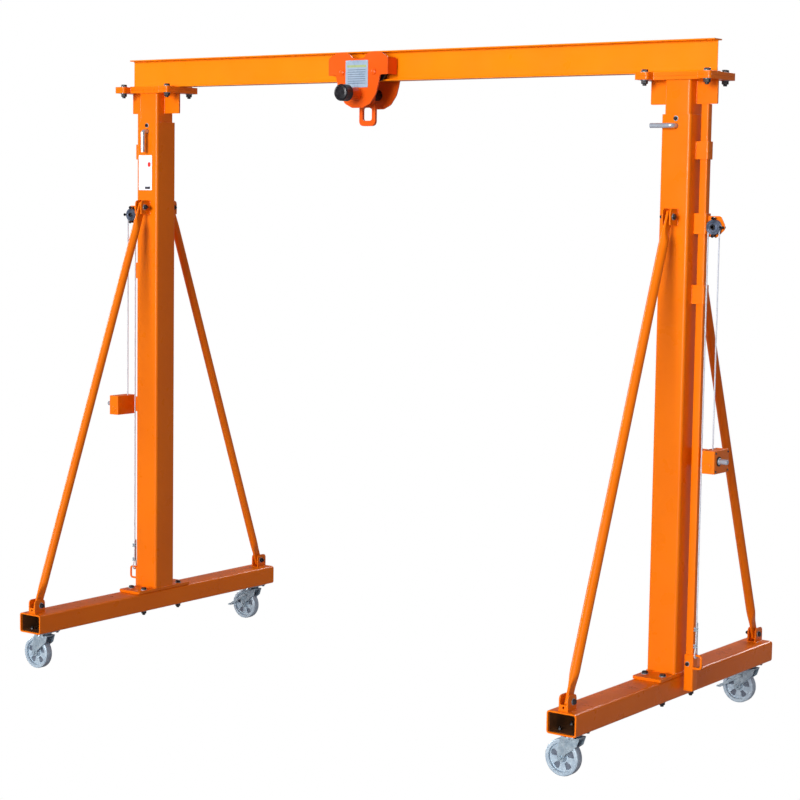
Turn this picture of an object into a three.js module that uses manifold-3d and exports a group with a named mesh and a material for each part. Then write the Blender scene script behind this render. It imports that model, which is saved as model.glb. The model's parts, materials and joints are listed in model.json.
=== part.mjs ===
// Portable gantry crane: an I-beam on two telescoping legs, each lifted by its own
// worm winch, with a push trolley under the beam and four swivel casters.
//
// Frame, in millimetres: X along the beam, Y along the base beams, Z up.
// The origin is on the floor under the middle of the beam, and the crane is at its
// lowest height. Left is -X, right is +X, front is -Y and rear is +Y.
// Each leg is drawn about its own post, and u is a distance outboard from its centre.

import * as THREE from 'three';
import { mergeVertices } from 'three/addons/utils/BufferGeometryUtils.js';
import Module from 'manifold-3d';

const wasm = await Module();
wasm.setup();

// ---------------------------------------------------------------- driving sizes

const GAP = 0.3; // clearance between pieces that touch

// I-beam, 160 x 80 section
const BEAM_LENGTH = 3830;
const BEAM_TOP = 3468;
const BEAM_DEPTH = 160;
const FLANGE_WIDTH = 80;
const FLANGE_THICKNESS = 7;
const WEB_THICKNESS = 5;
const BEAM_BOTTOM = BEAM_TOP - BEAM_DEPTH;

// Base beams and telescoping posts
const LEG_X = 1740;
const WALL = 6;
const TUBE_CORNER = 14;
const BASE_WALL = 8;
const BASE_LENGTH = 2050;
const BASE_WIDTH = 160;
const BASE_HEIGHT = 110;
const BASE_TOP = 332;
const BASE_BOTTOM = BASE_TOP - BASE_HEIGHT;
const POST_SIZE = 160;
const POST_TOP = 3106;
const INNER_SIZE = 140;
const INNER_BOTTOM = 780;
const FOOT = { width: 160, length: 450, thickness: 16, boltX: 50, boltY: 150 };
const FOOT_TOP = BASE_TOP + FOOT.thickness;
const FOOT_BOLT_RADIUS = 9;
const SET_BOLT_Z = 3085;

// Bolted joint between the beam and each head
const PLATE = 18;
const HEAD = { boltX: 170, boltY: 95, barWidth: 74, barLength: 270, coreWidth: 160 };
const HEAD_BOLT_RADIUS = 10;
const HEAD_TOP = BEAM_BOTTOM - PLATE;
const HEAD_UNDERSIDE = HEAD_TOP - PLATE;
const WING = { reach: 182, depth: 116, thickness: 12 };
const WING_BOTTOM = HEAD_UNDERSIDE - WING.depth;

// Locking pin, and the holes that it meets at every step of the lift
const PIN_RADIUS = 12;
const PIN_Z = 3050;
const PIN_HANDLE = 120;
const PIN_ELBOW_Y = -115;
const PIN_TIP_Y = -75;
const HOLE_PITCH = 100;
const HOLE_COUNT = 16;
const HOLE_SLACK = 1.5;

// Braces, from a clevis on the base beam to a clevis on the post
const BRACE_RADIUS = 24;
const BRACE_LOW = { y: 962, z: 374 };
const BRACE_HIGH = { y: 124, z: 2609 };
const BRACE_FLAT = { thickness: 14, width: 52, beyond: 27, length: 55, taper: 90 };
const CLEVIS = { width: 50, plate: 8, boltRadius: 8, headRadius: 12, headLength: 9 };
const BASE_LUG = { outward: 48, inward: 30, up: 34, backDrop: 10 };
const POST_LUG = { outward: 30, halfHeight: 40 };

// Push tube that carries the lift from its rope eye up to the head
const PUSH = { u: 120, y: 8, size: 40, wall: 3, bottom: 261 };
const SLEEVE = { size: 50, inside: 38, top: 445, boltZ: 397 };
const STAPLE = { reach: 186, high: 444, low: 378, radius: 6, bend: 16 };
const GUIDE_SPANS = [[2889, 2976], [2186, 2279]];
const GUIDE_SLACK = 2;
const GUIDE_PLATE = 5;

// Wire rope: up from the drum, over the pulley and down to the push tube
const ROPE_RADIUS = 4;
const ROPE_Y = -10;
const ROPE_SIDES = 8;
const ROPE_CLEARANCE = 1.2;
const PULLEY = { u: 186, z: 2562, ropeRadius: 30, radius: 37, width: 22, axle: 8 };
const KEEPER_GAP = 9; // from the rope's outside to a keeper's axis
const FALL_BOTTOM = 620;
const FALL_TOP = PULLEY.z - 3;
const EYE_CLIPS = [490, 575];
const EYE_RADIUS = 13;

// Worm winch
const WINCH = { u0: 206, u1: 275, y0: -106, y1: 46, z0: 1369, z1: 1482, wall: 5 };
const DRUM = { u: 240, z: 1402, barrel: 20, flange: 27, wheel: 17.2, journal: 8 };
const WORM = { y: -60, z: 1429, radius: 9.5, journal: 8, neck: 9, drive: 13, tip: 324 };
const BORE_SLACK = 0.4;

// Casters
const CASTER_Y = 910;
const WHEEL = { radius: 90, width: 46, rim: 70, hub: 24, hubWidth: 50, web: 14, trail: -52 };
const CASTER_PLATE = { x: 110, y: 140, thickness: 8 };
const FORK = { inside: 27, plate: 5, crownTop: 199, crown: 50 };
const KINGPIN = { radius: 8, bottom: 180, nutTop: 190, nutRadius: 14 };
const AXLE_RADIUS = 6;
const PEDAL = { pivotX: -30, pivotZ: 150, arm: 35.5, plate: 4, tipX: -170, heelX: -147, z: 78 };

// Trolley
const TROLLEY_X = -186;
const TROLLEY_SHAFT_Z = 3238;
const SIDE_PLATE = { y: 88, thickness: 10 };
const TROLLEY_WHEEL = { x: 107, tread: 38, flange: 46, inner: 13, edge: 41, outer: 52.5 };
const TROLLEY_WHEEL_Z = BEAM_BOTTOM + FLANGE_THICKNESS + TROLLEY_WHEEL.tread + GAP;
const STUB_RADIUS = 10;
const GUARD = { x: 199, plate: 8, z0: 3339, z1: 3430, y: 14 };
const SHAFT = { radius: 15, spacer: 30, cap: 45, bailHalf: 10, frontCap: 190, rearCap: 130, capLength: 64 };
const BAIL = { width: 108, bottom: 3069, hole: 62, holeBottom: 3098, holeTop: 3168, half: 9, crown: 44 };
const BAIL_CORNER = 28;
const EYE_CORNER = 12;
const LABEL = { x0: -81, x1: 69, z0: 3272, z1: 3417, thickness: 2 };

const SIDES = [{ name: 'right', side: 1 }, { name: 'left', side: -1 }];
const ENDS = [{ name: 'front', end: -1 }, { name: 'rear', end: 1 }];

// ---------------------------------------------------------------- finishes

const finish = (color, roughness, metalness) => new THREE.MeshStandardMaterial({ color, roughness, metalness });
const orangePaint = finish(0xf27a14, 0.35, 0.0);
const trolleyPaint = finish(0xe8601c, 0.4, 0.0);
const zinc = finish(0xaab4bc, 0.4, 0.9);
const chrome = finish(0xd5dbe2, 0.12, 1.0);
const darkSteel = finish(0x22242a, 0.45, 0.6);
const wheelGrey = finish(0x9aa4ac, 0.5, 0.3);
const ropeWire = finish(0xc4c9cc, 0.5, 0.8);
const blackRubber = finish(0x15171a, 0.7, 0.0);
const labelWhite = finish(0xb9c8d8, 0.4, 0.0);

function addPiece(parent, name, geometry, material) {
  const mesh = new THREE.Mesh(geometry, material.clone());
  mesh.name = name;
  parent.add(mesh);
}

function addGroup(parent, x, y, z) {
  const group = new THREE.Group();
  group.position.set(x, y, z);
  parent.add(group);
  return group;
}

// ---------------------------------------------------------------- shape helpers

function toSolid(geometry) {
  const bare = new THREE.BufferGeometry();
  bare.setAttribute('position', geometry.attributes.position);
  bare.setIndex(geometry.index);
  const merged = mergeVertices(bare, 1e-3);
  return new wasm.Manifold(new wasm.Mesh({
    numProp: 3,
    vertProperties: merged.attributes.position.array,
    triVerts: Uint32Array.from(merged.index.array),
  }));
}

function toGeometry(solid) {
  const mesh = solid.getMesh();
  const geometry = new THREE.BufferGeometry();
  geometry.setAttribute('position', new THREE.BufferAttribute(mesh.vertProperties, mesh.numProp));
  geometry.setIndex(new THREE.BufferAttribute(mesh.triVerts, 1));
  geometry.computeVertexNormals();
  return geometry;
}

const join = (...pieces) => toGeometry(pieces.map(toSolid).reduce((whole, piece) => whole.add(piece)));

const cut = (body, ...tools) =>
  toGeometry(tools.map(toSolid).reduce((rest, tool) => rest.subtract(tool), toSolid(body)));

function box(x0, x1, y0, y1, z0, z1) {
  const geometry = new THREE.BoxGeometry(Math.abs(x1 - x0), Math.abs(y1 - y0), Math.abs(z1 - z0));
  return geometry.translate((x0 + x1) / 2, (y0 + y1) / 2, (z0 + z1) / 2);
}

// A bar along one axis; a and b place it on the other two axes, in X, Y, Z order.
function rod(axis, radius, from, to, a, b, sides = 12) {
  const geometry = new THREE.CylinderGeometry(radius, radius, Math.abs(to - from), sides);
  const middle = (from + to) / 2;
  if (axis === 'x') return geometry.rotateZ(Math.PI / 2).translate(middle, a, b);
  if (axis === 'y') return geometry.translate(a, middle, b);
  return geometry.rotateX(Math.PI / 2).translate(a, b, middle);
}

const hexagon = (axis, radius, from, to, a, b) => rod(axis, radius, from, to, a, b, 6);

function roundedRectangle(width, height, radius) {
  const x = width / 2 - radius;
  const y = height / 2 - radius;
  const shape = new THREE.Shape();
  shape.absarc(x, y, radius, 0, Math.PI / 2);
  shape.absarc(-x, y, radius, Math.PI / 2, Math.PI);
  shape.absarc(-x, -y, radius, Math.PI, 1.5 * Math.PI);
  shape.absarc(x, -y, radius, 1.5 * Math.PI, 2 * Math.PI);
  return shape;
}

function tubeSection(width, height, wall, corner) {
  const section = roundedRectangle(width, height, corner);
  const insideCorner = Math.max(corner - wall, 2);
  section.holes.push(roundedRectangle(width - 2 * wall, height - 2 * wall, insideCorner));
  return section;
}

const extrude = (shape, depth, curveSegments) =>
  new THREE.ExtrudeGeometry(shape, { depth, bevelEnabled: false, curveSegments });

const alongZ = (shape, z0, z1, steps = 2) => extrude(shape, z1 - z0, steps).translate(0, 0, z0);

const alongY = (shape, y0, y1, steps = 2) =>
  extrude(shape, y1 - y0, steps).rotateX(Math.PI / 2).translate(0, y1, 0);

function alongX(shape, x0, x1, steps = 2) {
  const [x, y, z] = [[1, 0, 0], [0, 1, 0], [0, 0, 1]].map((axis) => new THREE.Vector3(...axis));
  const turn = new THREE.Matrix4().makeBasis(y, z, x);
  return extrude(shape, x1 - x0, steps).applyMatrix4(turn).translate(x0, 0, 0);
}

const outline = (points) => new THREE.Shape(points.map(([x, y]) => new THREE.Vector2(x, y)));

// A body of revolution about the Y axis from [radius, y] points.
const turned = (profile, sides = 16) =>
  new THREE.LatheGeometry(profile.map(([radius, y]) => new THREE.Vector2(radius, y)), sides);

// A closed body through rings of points, each turning right-handed about the way it runs.
function loft(rings) {
  const count = rings[0].length;
  const ends = [rings[0], rings.at(-1)].map((ring) =>
    ring.reduce((sum, point) => sum.add(point), new THREE.Vector3()).divideScalar(count));
  const points = [...rings.flat(), ...ends];
  const [first, last] = [points.length - 2, points.length - 1];
  const faces = [];
  for (let j = 0; j < count; j += 1) {
    const next = (j + 1) % count;
    for (let i = 0; i < rings.length - 1; i += 1) {
      const [a, b] = [i * count, (i + 1) * count];
      faces.push(a + j, a + next, b + next, a + j, b + next, b + j);
    }
    const top = (rings.length - 1) * count;
    faces.push(first, next, j, last, top + j, top + next);
  }
  const geometry = new THREE.BufferGeometry().setFromPoints(points);
  geometry.setIndex(faces);
  geometry.computeVertexNormals();
  return geometry;
}

// A round bar or rope along points that lie in one plane with the given normal.
function bentRod(points, normal, radius, sides) {
  const rings = points.map((point, i) => {
    const before = points[Math.max(i - 1, 0)];
    const after = points[Math.min(i + 1, points.length - 1)];
    const heading = after.clone().sub(before).normalize();
    const across = normal.clone().cross(heading);
    return Array.from({ length: sides }, (_, k) => {
      const angle = (2 * Math.PI * k) / sides;
      return point.clone()
        .addScaledVector(across, radius * Math.cos(angle))
        .addScaledVector(normal, radius * Math.sin(angle));
    });
  });
  return loft(rings);
}

// Points of an arc about a centre; place turns its two coordinates into a point.
function arc(centreA, centreB, radius, from, to, steps, place) {
  return Array.from({ length: steps + 1 }, (_, i) => {
    const angle = from + ((to - from) * i) / steps;
    return place(centreA + radius * Math.cos(angle), centreB + radius * Math.sin(angle));
  });
}

// ---------------------------------------------------------------- beam and heads

function beamGeometry() {
  const [flange, web] = [FLANGE_WIDTH / 2, WEB_THICKNESS / 2];
  const [bottom, top] = [BEAM_BOTTOM, BEAM_TOP];
  const [low, high] = [bottom + FLANGE_THICKNESS, top - FLANGE_THICKNESS];
  const section = outline([
    [-flange, bottom], [flange, bottom], [flange, low], [web, low], [web, high], [flange, high],
    [flange, top], [-flange, top], [-flange, high], [-web, high], [-web, low], [-flange, low],
  ]);
  return alongX(section, -BEAM_LENGTH / 2, BEAM_LENGTH / 2);
}

// The H shape shared by the head plate and the beam's sole plate.
function headOutline() {
  const [near, far] = [HEAD.boltX - HEAD.barWidth / 2, HEAD.boltX + HEAD.barWidth / 2];
  const [core, end] = [HEAD.coreWidth / 2, HEAD.barLength / 2];
  return outline([
    [far, -end], [far, end], [near, end], [near, core], [-near, core], [-near, end],
    [-far, end], [-far, -end], [-near, -end], [-near, -core], [near, -core], [near, -end],
  ]);
}

function headBoltPlaces() {
  return [-1, 1].flatMap((x) => [-1, 1].map((y) => [x * HEAD.boltX, y * HEAD.boltY]));
}

function solePlateGeometry() {
  const plate = alongZ(headOutline(), HEAD_TOP + GAP, BEAM_BOTTOM - GAP);
  const [headSize, headHeight, nutHeight, tail] = [17, 13, 16, 12];
  const nutTop = HEAD_UNDERSIDE - GAP;
  const bolts = headBoltPlaces().flatMap(([x, y]) => [
    rod('z', HEAD_BOLT_RADIUS, nutTop - nutHeight - tail, BEAM_BOTTOM, x, y, 6),
    hexagon('z', headSize, BEAM_BOTTOM - 1, BEAM_BOTTOM + headHeight, x, y),
    hexagon('z', headSize, nutTop - nutHeight, nutTop, x, y),
  ]);
  return join(plate, ...bolts);
}

function innerPostGeometry() {
  const tube = alongZ(tubeSection(INNER_SIZE, INNER_SIZE, WALL, TUBE_CORNER), INNER_BOTTOM, HEAD_UNDERSIDE + 1);
  const plate = alongZ(headOutline(), HEAD_UNDERSIDE, HEAD_TOP);
  const wings = [-1, 1].map((way) => box(
    way * (INNER_SIZE / 2 - 1), way * WING.reach,
    -WING.thickness / 2, WING.thickness / 2, WING_BOTTOM, HEAD_UNDERSIDE + 1));
  const boltHoles = headBoltPlaces().map(([x, y]) =>
    rod('z', HEAD_BOLT_RADIUS + 0.5, HEAD_UNDERSIDE - 1, HEAD_TOP + 1, x, y, 6));
  const pinHoles = Array.from({ length: HOLE_COUNT }, (_, i) => rod('y', PIN_RADIUS + HOLE_SLACK,
    -INNER_SIZE / 2 - WALL, -INNER_SIZE / 2 + 2 * WALL, 0, PIN_Z - i * HOLE_PITCH, 8));
  return cut(join(tube, plate, ...wings), ...boltHoles, ...pinHoles);
}

// ---------------------------------------------------------------- lower leg

// A channel across X with a bolt through its two cheeks; its back stands at yBack, up to backTop.
function clevis(yBack, yOpen, z0, z1, boltY, boltZ, backTop = z1) {
  const half = CLEVIS.width / 2;
  const inward = Math.sign(yOpen - yBack) * CLEVIS.plate;
  const cheeks = [-1, 1].map((way) =>
    box(way * half, way * (half - CLEVIS.plate), yBack, yOpen, z0, z1));
  const back = box(-half, half, yBack, yBack + inward, z0, backTop);
  const headEnd = half + CLEVIS.headLength;
  const bolt = rod('x', CLEVIS.boltRadius, -headEnd - 4, headEnd, boltY, boltZ, 8);
  const heads = [-1, 1].map((way) =>
    hexagon('x', CLEVIS.headRadius, way * (half - 1), way * headEnd, boltY, boltZ));
  return join(back, ...cheeks, bolt, ...heads);
}

function footBoltPlaces() {
  return [-1, 1].flatMap((x) => [-1, 1].map((y) => [x * FOOT.boltX, y * FOOT.boltY]));
}

function baseBeamGeometry() {
  const middle = (BASE_TOP + BASE_BOTTOM) / 2;
  const tube = alongY(tubeSection(BASE_WIDTH, BASE_HEIGHT, BASE_WALL, TUBE_CORNER), -BASE_LENGTH / 2, BASE_LENGTH / 2)
    .translate(0, 0, middle);
  const { outward, inward, up, backDrop } = BASE_LUG;
  const lugs = ENDS.map(({ end }) => clevis(
    end * (BRACE_LOW.y + outward), end * (BRACE_LOW.y - inward), BASE_TOP - 1, BRACE_LOW.z + up,
    end * BRACE_LOW.y, BRACE_LOW.z, BRACE_LOW.z - backDrop));
  const boltHoles = footBoltPlaces().map(([x, y]) =>
    rod('z', FOOT_BOLT_RADIUS + 0.5, BASE_BOTTOM - 1, BASE_TOP + 1, x, y, 6));
  return cut(join(tube, ...lugs), ...boltHoles);
}

function footBolts() {
  const [headSize, headHeight, nutHeight, tail] = [15, 12, 14, 8];
  const nutTop = BASE_BOTTOM - GAP;
  return footBoltPlaces().flatMap(([x, y]) => [
    rod('z', FOOT_BOLT_RADIUS, nutTop - nutHeight - tail, FOOT_TOP, x, y, 6),
    hexagon('z', headSize, FOOT_TOP - 1, FOOT_TOP + headHeight, x, y),
    hexagon('z', headSize, nutTop - nutHeight, nutTop, x, y),
  ]);
}

// A hat-shaped bracket that holds the push tube against the post between two heights.
function pushGuide(side, u0, z0, z1) {
  const inside = PUSH.size / 2 + GUIDE_SLACK;
  const outside = inside + GUIDE_PLATE;
  const body = box(side * u0, side * (PUSH.u + outside), PUSH.y - outside, PUSH.y + outside, z0, z1);
  const bore = box(side * (u0 - 1), side * (PUSH.u + inside), PUSH.y - inside, PUSH.y + inside, z0 - 1, z1 + 1);
  return cut(body, bore);
}

function postGeometry(side) {
  const half = POST_SIZE / 2;
  const tube = alongZ(tubeSection(POST_SIZE, POST_SIZE, WALL, TUBE_CORNER), FOOT_TOP - 1, POST_TOP);
  const foot = box(-FOOT.width / 2, FOOT.width / 2, -FOOT.length / 2, FOOT.length / 2, BASE_TOP + GAP, FOOT_TOP);
  const brackets = ENDS.map(({ end }) => clevis(
    end * (half - 1), end * (BRACE_HIGH.y + POST_LUG.outward),
    BRACE_HIGH.z - POST_LUG.halfHeight, BRACE_HIGH.z + POST_LUG.halfHeight,
    end * BRACE_HIGH.y, BRACE_HIGH.z));
  const guides = GUIDE_SPANS.map(([z0, z1]) => pushGuide(side, half - 1, z0, z1));
  const winchPlate = box(side * (half - 1), side * (WINCH.u1 - 15), WINCH.y1 + GAP, WINCH.y1 + 8,
    WINCH.z0 + 12, WINCH.z1 - 12);
  const setBolts = [-1, 1].map((way) => hexagon('y', 10, way * (half - 1), way * (half + 12), 0, SET_BOLT_Z));
  const pinHole = rod('y', PIN_RADIUS + HOLE_SLACK, -half - WALL, -half + 2 * WALL, 0, PIN_Z, 8);
  return cut(join(tube, foot, ...brackets, ...guides, winchPlate, ...setBolts, ...footBolts()), pinHole);
}

// A tube with both ends hammered flat and drilled for a bolt along X.
function braceGeometry(end) {
  const low = new THREE.Vector3(0, end * BRACE_LOW.y, BRACE_LOW.z);
  const high = new THREE.Vector3(0, end * BRACE_HIGH.y, BRACE_HIGH.z);
  const heading = high.clone().sub(low).normalize();
  const thin = new THREE.Vector3(1, 0, 0);
  const wide = thin.clone().cross(heading);
  const length = high.distanceTo(low);
  const sides = 12;
  const squash = (value) => Math.sign(value) * Math.abs(value) ** 0.3;
  const ring = (distance, flat) => Array.from({ length: sides }, (_, k) => {
    const angle = (2 * Math.PI * (k + 0.5)) / sides;
    const [c, s] = [Math.cos(angle), Math.sin(angle)];
    const across = flat ? (squash(c) * BRACE_FLAT.width) / 2 : c * BRACE_RADIUS;
    const through = flat ? (squash(s) * BRACE_FLAT.thickness) / 2 : s * BRACE_RADIUS;
    return low.clone().addScaledVector(heading, distance)
      .addScaledVector(wide, across).addScaledVector(thin, through);
  });
  const { beyond, length: flatLength, taper } = BRACE_FLAT;
  const tube = loft([
    ring(-beyond, true), ring(flatLength, true), ring(flatLength + taper, false),
    ring(length - flatLength - taper, false), ring(length - flatLength, true), ring(length + beyond, true),
  ]);
  const holes = [low, high].map(({ y, z }) =>
    rod('x', CLEVIS.boltRadius + 0.5, -BRACE_RADIUS, BRACE_RADIUS, y, z, 8));
  return cut(tube, ...holes);
}

// An L-shaped pin: its shank goes in along +Y and its handle lies along the given way.
function lockPinGeometry(way) {
  const bend = 14;
  const handle = new THREE.Vector3(...way);
  const corner = new THREE.Vector3(0, PIN_ELBOW_Y, PIN_Z);
  const place = (a, b) => corner.clone().addScaledVector(handle, a).add(new THREE.Vector3(0, b, 0));
  const elbow = arc(bend, bend, bend, 1.5 * Math.PI, Math.PI, 4, place);
  const points = [place(PIN_HANDLE, 0), ...elbow, place(0, PIN_TIP_Y - PIN_ELBOW_Y)];
  const normal = handle.clone().negate().cross(new THREE.Vector3(0, 1, 0)).normalize();
  return bentRod(points, normal, PIN_RADIUS, 10);
}

// ---------------------------------------------------------------- lifting gear

function pushTubeGeometry(side) {
  const tube = alongZ(tubeSection(PUSH.size, PUSH.size, PUSH.wall, 6), PUSH.bottom, WING_BOTTOM - GAP, 1)
    .translate(side * PUSH.u, PUSH.y, 0);
  const sleeveWall = (SLEEVE.size - SLEEVE.inside) / 2;
  const sleeve = alongZ(tubeSection(SLEEVE.size, SLEEVE.size, sleeveWall, 5), PUSH.bottom, SLEEVE.top, 1)
    .translate(side * PUSH.u, PUSH.y, 0);
  const place = (u, z) => new THREE.Vector3(side * u, ROPE_Y, z);
  const root = PUSH.u + SLEEVE.size / 2 - 3;
  const bendU = STAPLE.reach - STAPLE.bend;
  const staple = bentRod([
    place(root, STAPLE.high),
    ...arc(bendU, STAPLE.high - STAPLE.bend, STAPLE.bend, Math.PI / 2, 0, 3, place),
    ...arc(bendU, STAPLE.low + STAPLE.bend, STAPLE.bend, 0, -Math.PI / 2, 3, place),
    place(root, STAPLE.low),
  ], new THREE.Vector3(0, 1, 0), STAPLE.radius, 6);
  const [boltU, boltReach] = [PUSH.u - 6, SLEEVE.size / 2 + 9];
  const bolt = hexagon('y', 11, PUSH.y - boltReach, PUSH.y + boltReach, side * boltU, SLEEVE.boltZ);
  return join(tube, sleeve, staple, bolt);
}

// The middle guide, which also carries the pulley's axle and three rope keepers.
function pulleyBracketGeometry(side) {
  const guide = pushGuide(side, POST_SIZE / 2 + GAP, PULLEY.z - 35, PULLEY.z + 66);
  const root = PUSH.u + PUSH.size / 2 + GUIDE_SLACK;
  const cheek = outline([
    [root, PULLEY.z - 48], [198, PULLEY.z - 48], [236, PULLEY.z - 12], [236, PULLEY.z + 12],
    [214, PULLEY.z + 54], [root, PULLEY.z + 54],
  ].map(([u, z]) => [side * u, z]));
  const plate = alongY(cheek, 5, 10);
  const reach = PULLEY.ropeRadius + ROPE_RADIUS + KEEPER_GAP;
  const nearEnd = ROPE_Y - PULLEY.width / 2 - 8;
  const axle = rod('y', PULLEY.axle, nearEnd, 6, side * PULLEY.u, PULLEY.z);
  const axleHead = hexagon('y', 14, nearEnd, nearEnd + 7, side * PULLEY.u, PULLEY.z);
  const keepers = [[0, 1], [0, -1], [1, 0]].flatMap(([du, dz]) => {
    const [x, z] = [side * (PULLEY.u + du * reach), PULLEY.z + dz * reach];
    return [rod('y', 5, nearEnd, 6, x, z, 8), hexagon('y', 9, nearEnd, nearEnd + 6, x, z)];
  });
  return join(guide, plate, axle, axleHead, ...keepers);
}

function pulleyGeometry() {
  const half = PULLEY.width / 2;
  const bore = PULLEY.axle + BORE_SLACK;
  const groove = PULLEY.ropeRadius - ROPE_RADIUS - ROPE_CLEARANCE;
  const grooveHalf = ROPE_RADIUS + ROPE_CLEARANCE / 2;
  return turned([
    [bore, -half], [PULLEY.radius, -half], [PULLEY.radius, -half + 2], [groove, -grooveHalf],
    [groove, grooveHalf], [PULLEY.radius, half - 2], [PULLEY.radius, half], [bore, half], [bore, -half],
  ]);
}

function drumRopeGeometry(side) {
  const place = (u, z) => new THREE.Vector3(side * u, ROPE_Y, z);
  const over = arc(PULLEY.u, PULLEY.z, PULLEY.ropeRadius, 0, Math.PI, 8, place);
  const foot = place(PULLEY.u + PULLEY.ropeRadius, DRUM.z);
  const points = [foot, ...over, place(PULLEY.u - PULLEY.ropeRadius, FALL_TOP)];
  return bentRod(points, new THREE.Vector3(0, 1, 0), ROPE_RADIUS, ROPE_SIDES);
}

function liftRopeGeometry(side) {
  const u = PULLEY.u - PULLEY.ropeRadius;
  return rod('z', ROPE_RADIUS, FALL_BOTTOM, FALL_TOP - GAP, side * u, ROPE_Y, ROPE_SIDES);
}

// The end of the rope, turned back under the staple and held by two clips.
function ropeEyeGeometry(side) {
  const u = side * (PULLEY.u - PULLEY.ropeRadius);
  const place = (y, z) => new THREE.Vector3(u, ROPE_Y + y, z);
  const under = arc(0, STAPLE.high, EYE_RADIUS, Math.PI, 2 * Math.PI, 6, place);
  const points = [
    place(0, FALL_BOTTOM - GAP), place(0, EYE_CLIPS[1]), place(-2, EYE_CLIPS[0]), ...under,
    place(8, EYE_CLIPS[0]), place(9, EYE_CLIPS[1] + 30),
  ];
  const loop = bentRod(points, new THREE.Vector3(1, 0, 0), ROPE_RADIUS, 6);
  const clips = EYE_CLIPS.map((z) => box(u - 9, u + 11, ROPE_Y - 7, ROPE_Y + 15, z - 9, z + 9));
  return join(loop, ...clips);
}

function winchHousingGeometry(side) {
  const { u0, u1, y0, y1, z0, z1, wall } = WINCH;
  const shell = box(side * u0, side * u1, y0, y1, z0, z1);
  const inside = box(side * (u0 + wall), side * (u1 - wall), y0 + wall, y1 - wall, z0 + wall, z1 - wall);
  const ropeSlot = box(side * (u0 + wall), side * (u0 + wall + 12), ROPE_Y - 36, ROPE_Y + 36, z1 - 2 * wall, z1 + 1);
  const drumBores = rod('y', DRUM.journal + BORE_SLACK, y0 - 1, y1 + 1, side * DRUM.u, DRUM.z);
  const wormBore = rod('x', WORM.neck + BORE_SLACK, side * (u0 - 1), side * (u1 + 1), WORM.y, WORM.z);
  return cut(shell, inside, ropeSlot, drumBores, wormBore);
}

// Rope barrel between two flanges, and the worm wheel beside it, on one journalled shaft.
function winchDrumGeometry(side) {
  const { barrel, flange, wheel, journal } = DRUM;
  const [start, stop] = [WINCH.y0 + 1, WINCH.y1 - 1];
  return turned([
    [0, start], [journal, start], [journal, -74], [wheel, -74], [wheel, -50], [flange, -50], [flange, -46],
    [barrel, -46], [barrel, 26], [flange, 26], [flange, 30], [journal, 30], [journal, stop], [0, stop],
  ]).translate(side * DRUM.u, 0, DRUM.z);
}

function winchShaftGeometry(side) {
  const { radius, journal, neck, drive, tip } = WORM;
  const start = WINCH.u0 + 1;
  const face = WINCH.u1 + 2;
  return turned([
    [0, start], [journal, start], [journal, 220], [radius, 220], [radius, 260], [neck, 260],
    [neck, face], [drive, face], [drive, tip - 3], [drive - 3, tip], [0, tip],
  ], 12).rotateZ((-side * Math.PI) / 2).translate(0, WORM.y, WORM.z);
}

// ---------------------------------------------------------------- casters

function casterPlateGeometry() {
  const top = BASE_BOTTOM - GAP;
  const bottom = top - CASTER_PLATE.thickness;
  const plate = box(-CASTER_PLATE.x / 2, CASTER_PLATE.x / 2, -CASTER_PLATE.y / 2, CASTER_PLATE.y / 2, bottom, top);
  const raceway = rod('z', 38, FORK.crownTop + GAP, bottom + 1, 0, 0, 16);
  const kingpin = rod('z', KINGPIN.radius, KINGPIN.bottom, bottom, 0, 0);
  const nut = hexagon('z', KINGPIN.nutRadius, KINGPIN.bottom, KINGPIN.nutTop, 0, 0);
  return join(plate, raceway, kingpin, nut);
}

function forkGeometry() {
  const { inside, plate, crownTop, crown } = FORK;
  const crownBottom = crownTop - 6;
  const top = box(-crown, crown, -inside - plate, inside + plate, crownBottom, crownTop);
  const legOutline = () => {
    const shape = new THREE.Shape();
    shape.moveTo(-crown, crownTop);
    shape.absarc(WHEEL.trail, WHEEL.radius, 17, Math.PI, 2 * Math.PI);
    shape.lineTo(crown - 12, crownTop - 45);
    shape.lineTo(crown, crownTop);
    return shape;
  };
  const legs = [-1, 1].map((way) => {
    const [y0, y1] = way < 0 ? [-inside - plate, -inside] : [inside, inside + plate];
    return alongY(legOutline(), y0, y1, 4);
  });
  const bores = [
    rod('y', AXLE_RADIUS + BORE_SLACK, -50, 50, WHEEL.trail, WHEEL.radius),
    rod('z', KINGPIN.radius + 1, crownBottom - 1, crownTop + 1, 0, 0),
  ];
  return cut(join(top, ...legs), ...bores);
}

// The wheel stands on a flat of its rim, so the radius is across the flats.
function casterWheelGeometry() {
  const sides = 20;
  const [half, hubHalf, webHalf] = [WHEEL.width / 2, WHEEL.hubWidth / 2, WHEEL.web / 2];
  const rim = WHEEL.radius / Math.cos(Math.PI / sides);
  const bore = AXLE_RADIUS + BORE_SLACK;
  return turned([
    [bore, -hubHalf], [WHEEL.hub, -hubHalf], [WHEEL.hub, -webHalf], [WHEEL.rim, -webHalf], [WHEEL.rim, -half],
    [rim, -half], [rim, half], [WHEEL.rim, half], [WHEEL.rim, webHalf], [WHEEL.hub, webHalf],
    [WHEEL.hub, hubHalf], [bore, hubHalf], [bore, -hubHalf],
  ], sides).rotateY(Math.PI / sides);
}

function casterAxleGeometry() {
  const face = FORK.inside + FORK.plate + GAP;
  const shank = rod('y', AXLE_RADIUS, -face - 8, face + 12, 0, 0);
  const heads = [-1, 1].map((way) => hexagon('y', 10, way * face, way * (face + 8), 0, 0));
  return join(shank, ...heads);
}

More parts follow.
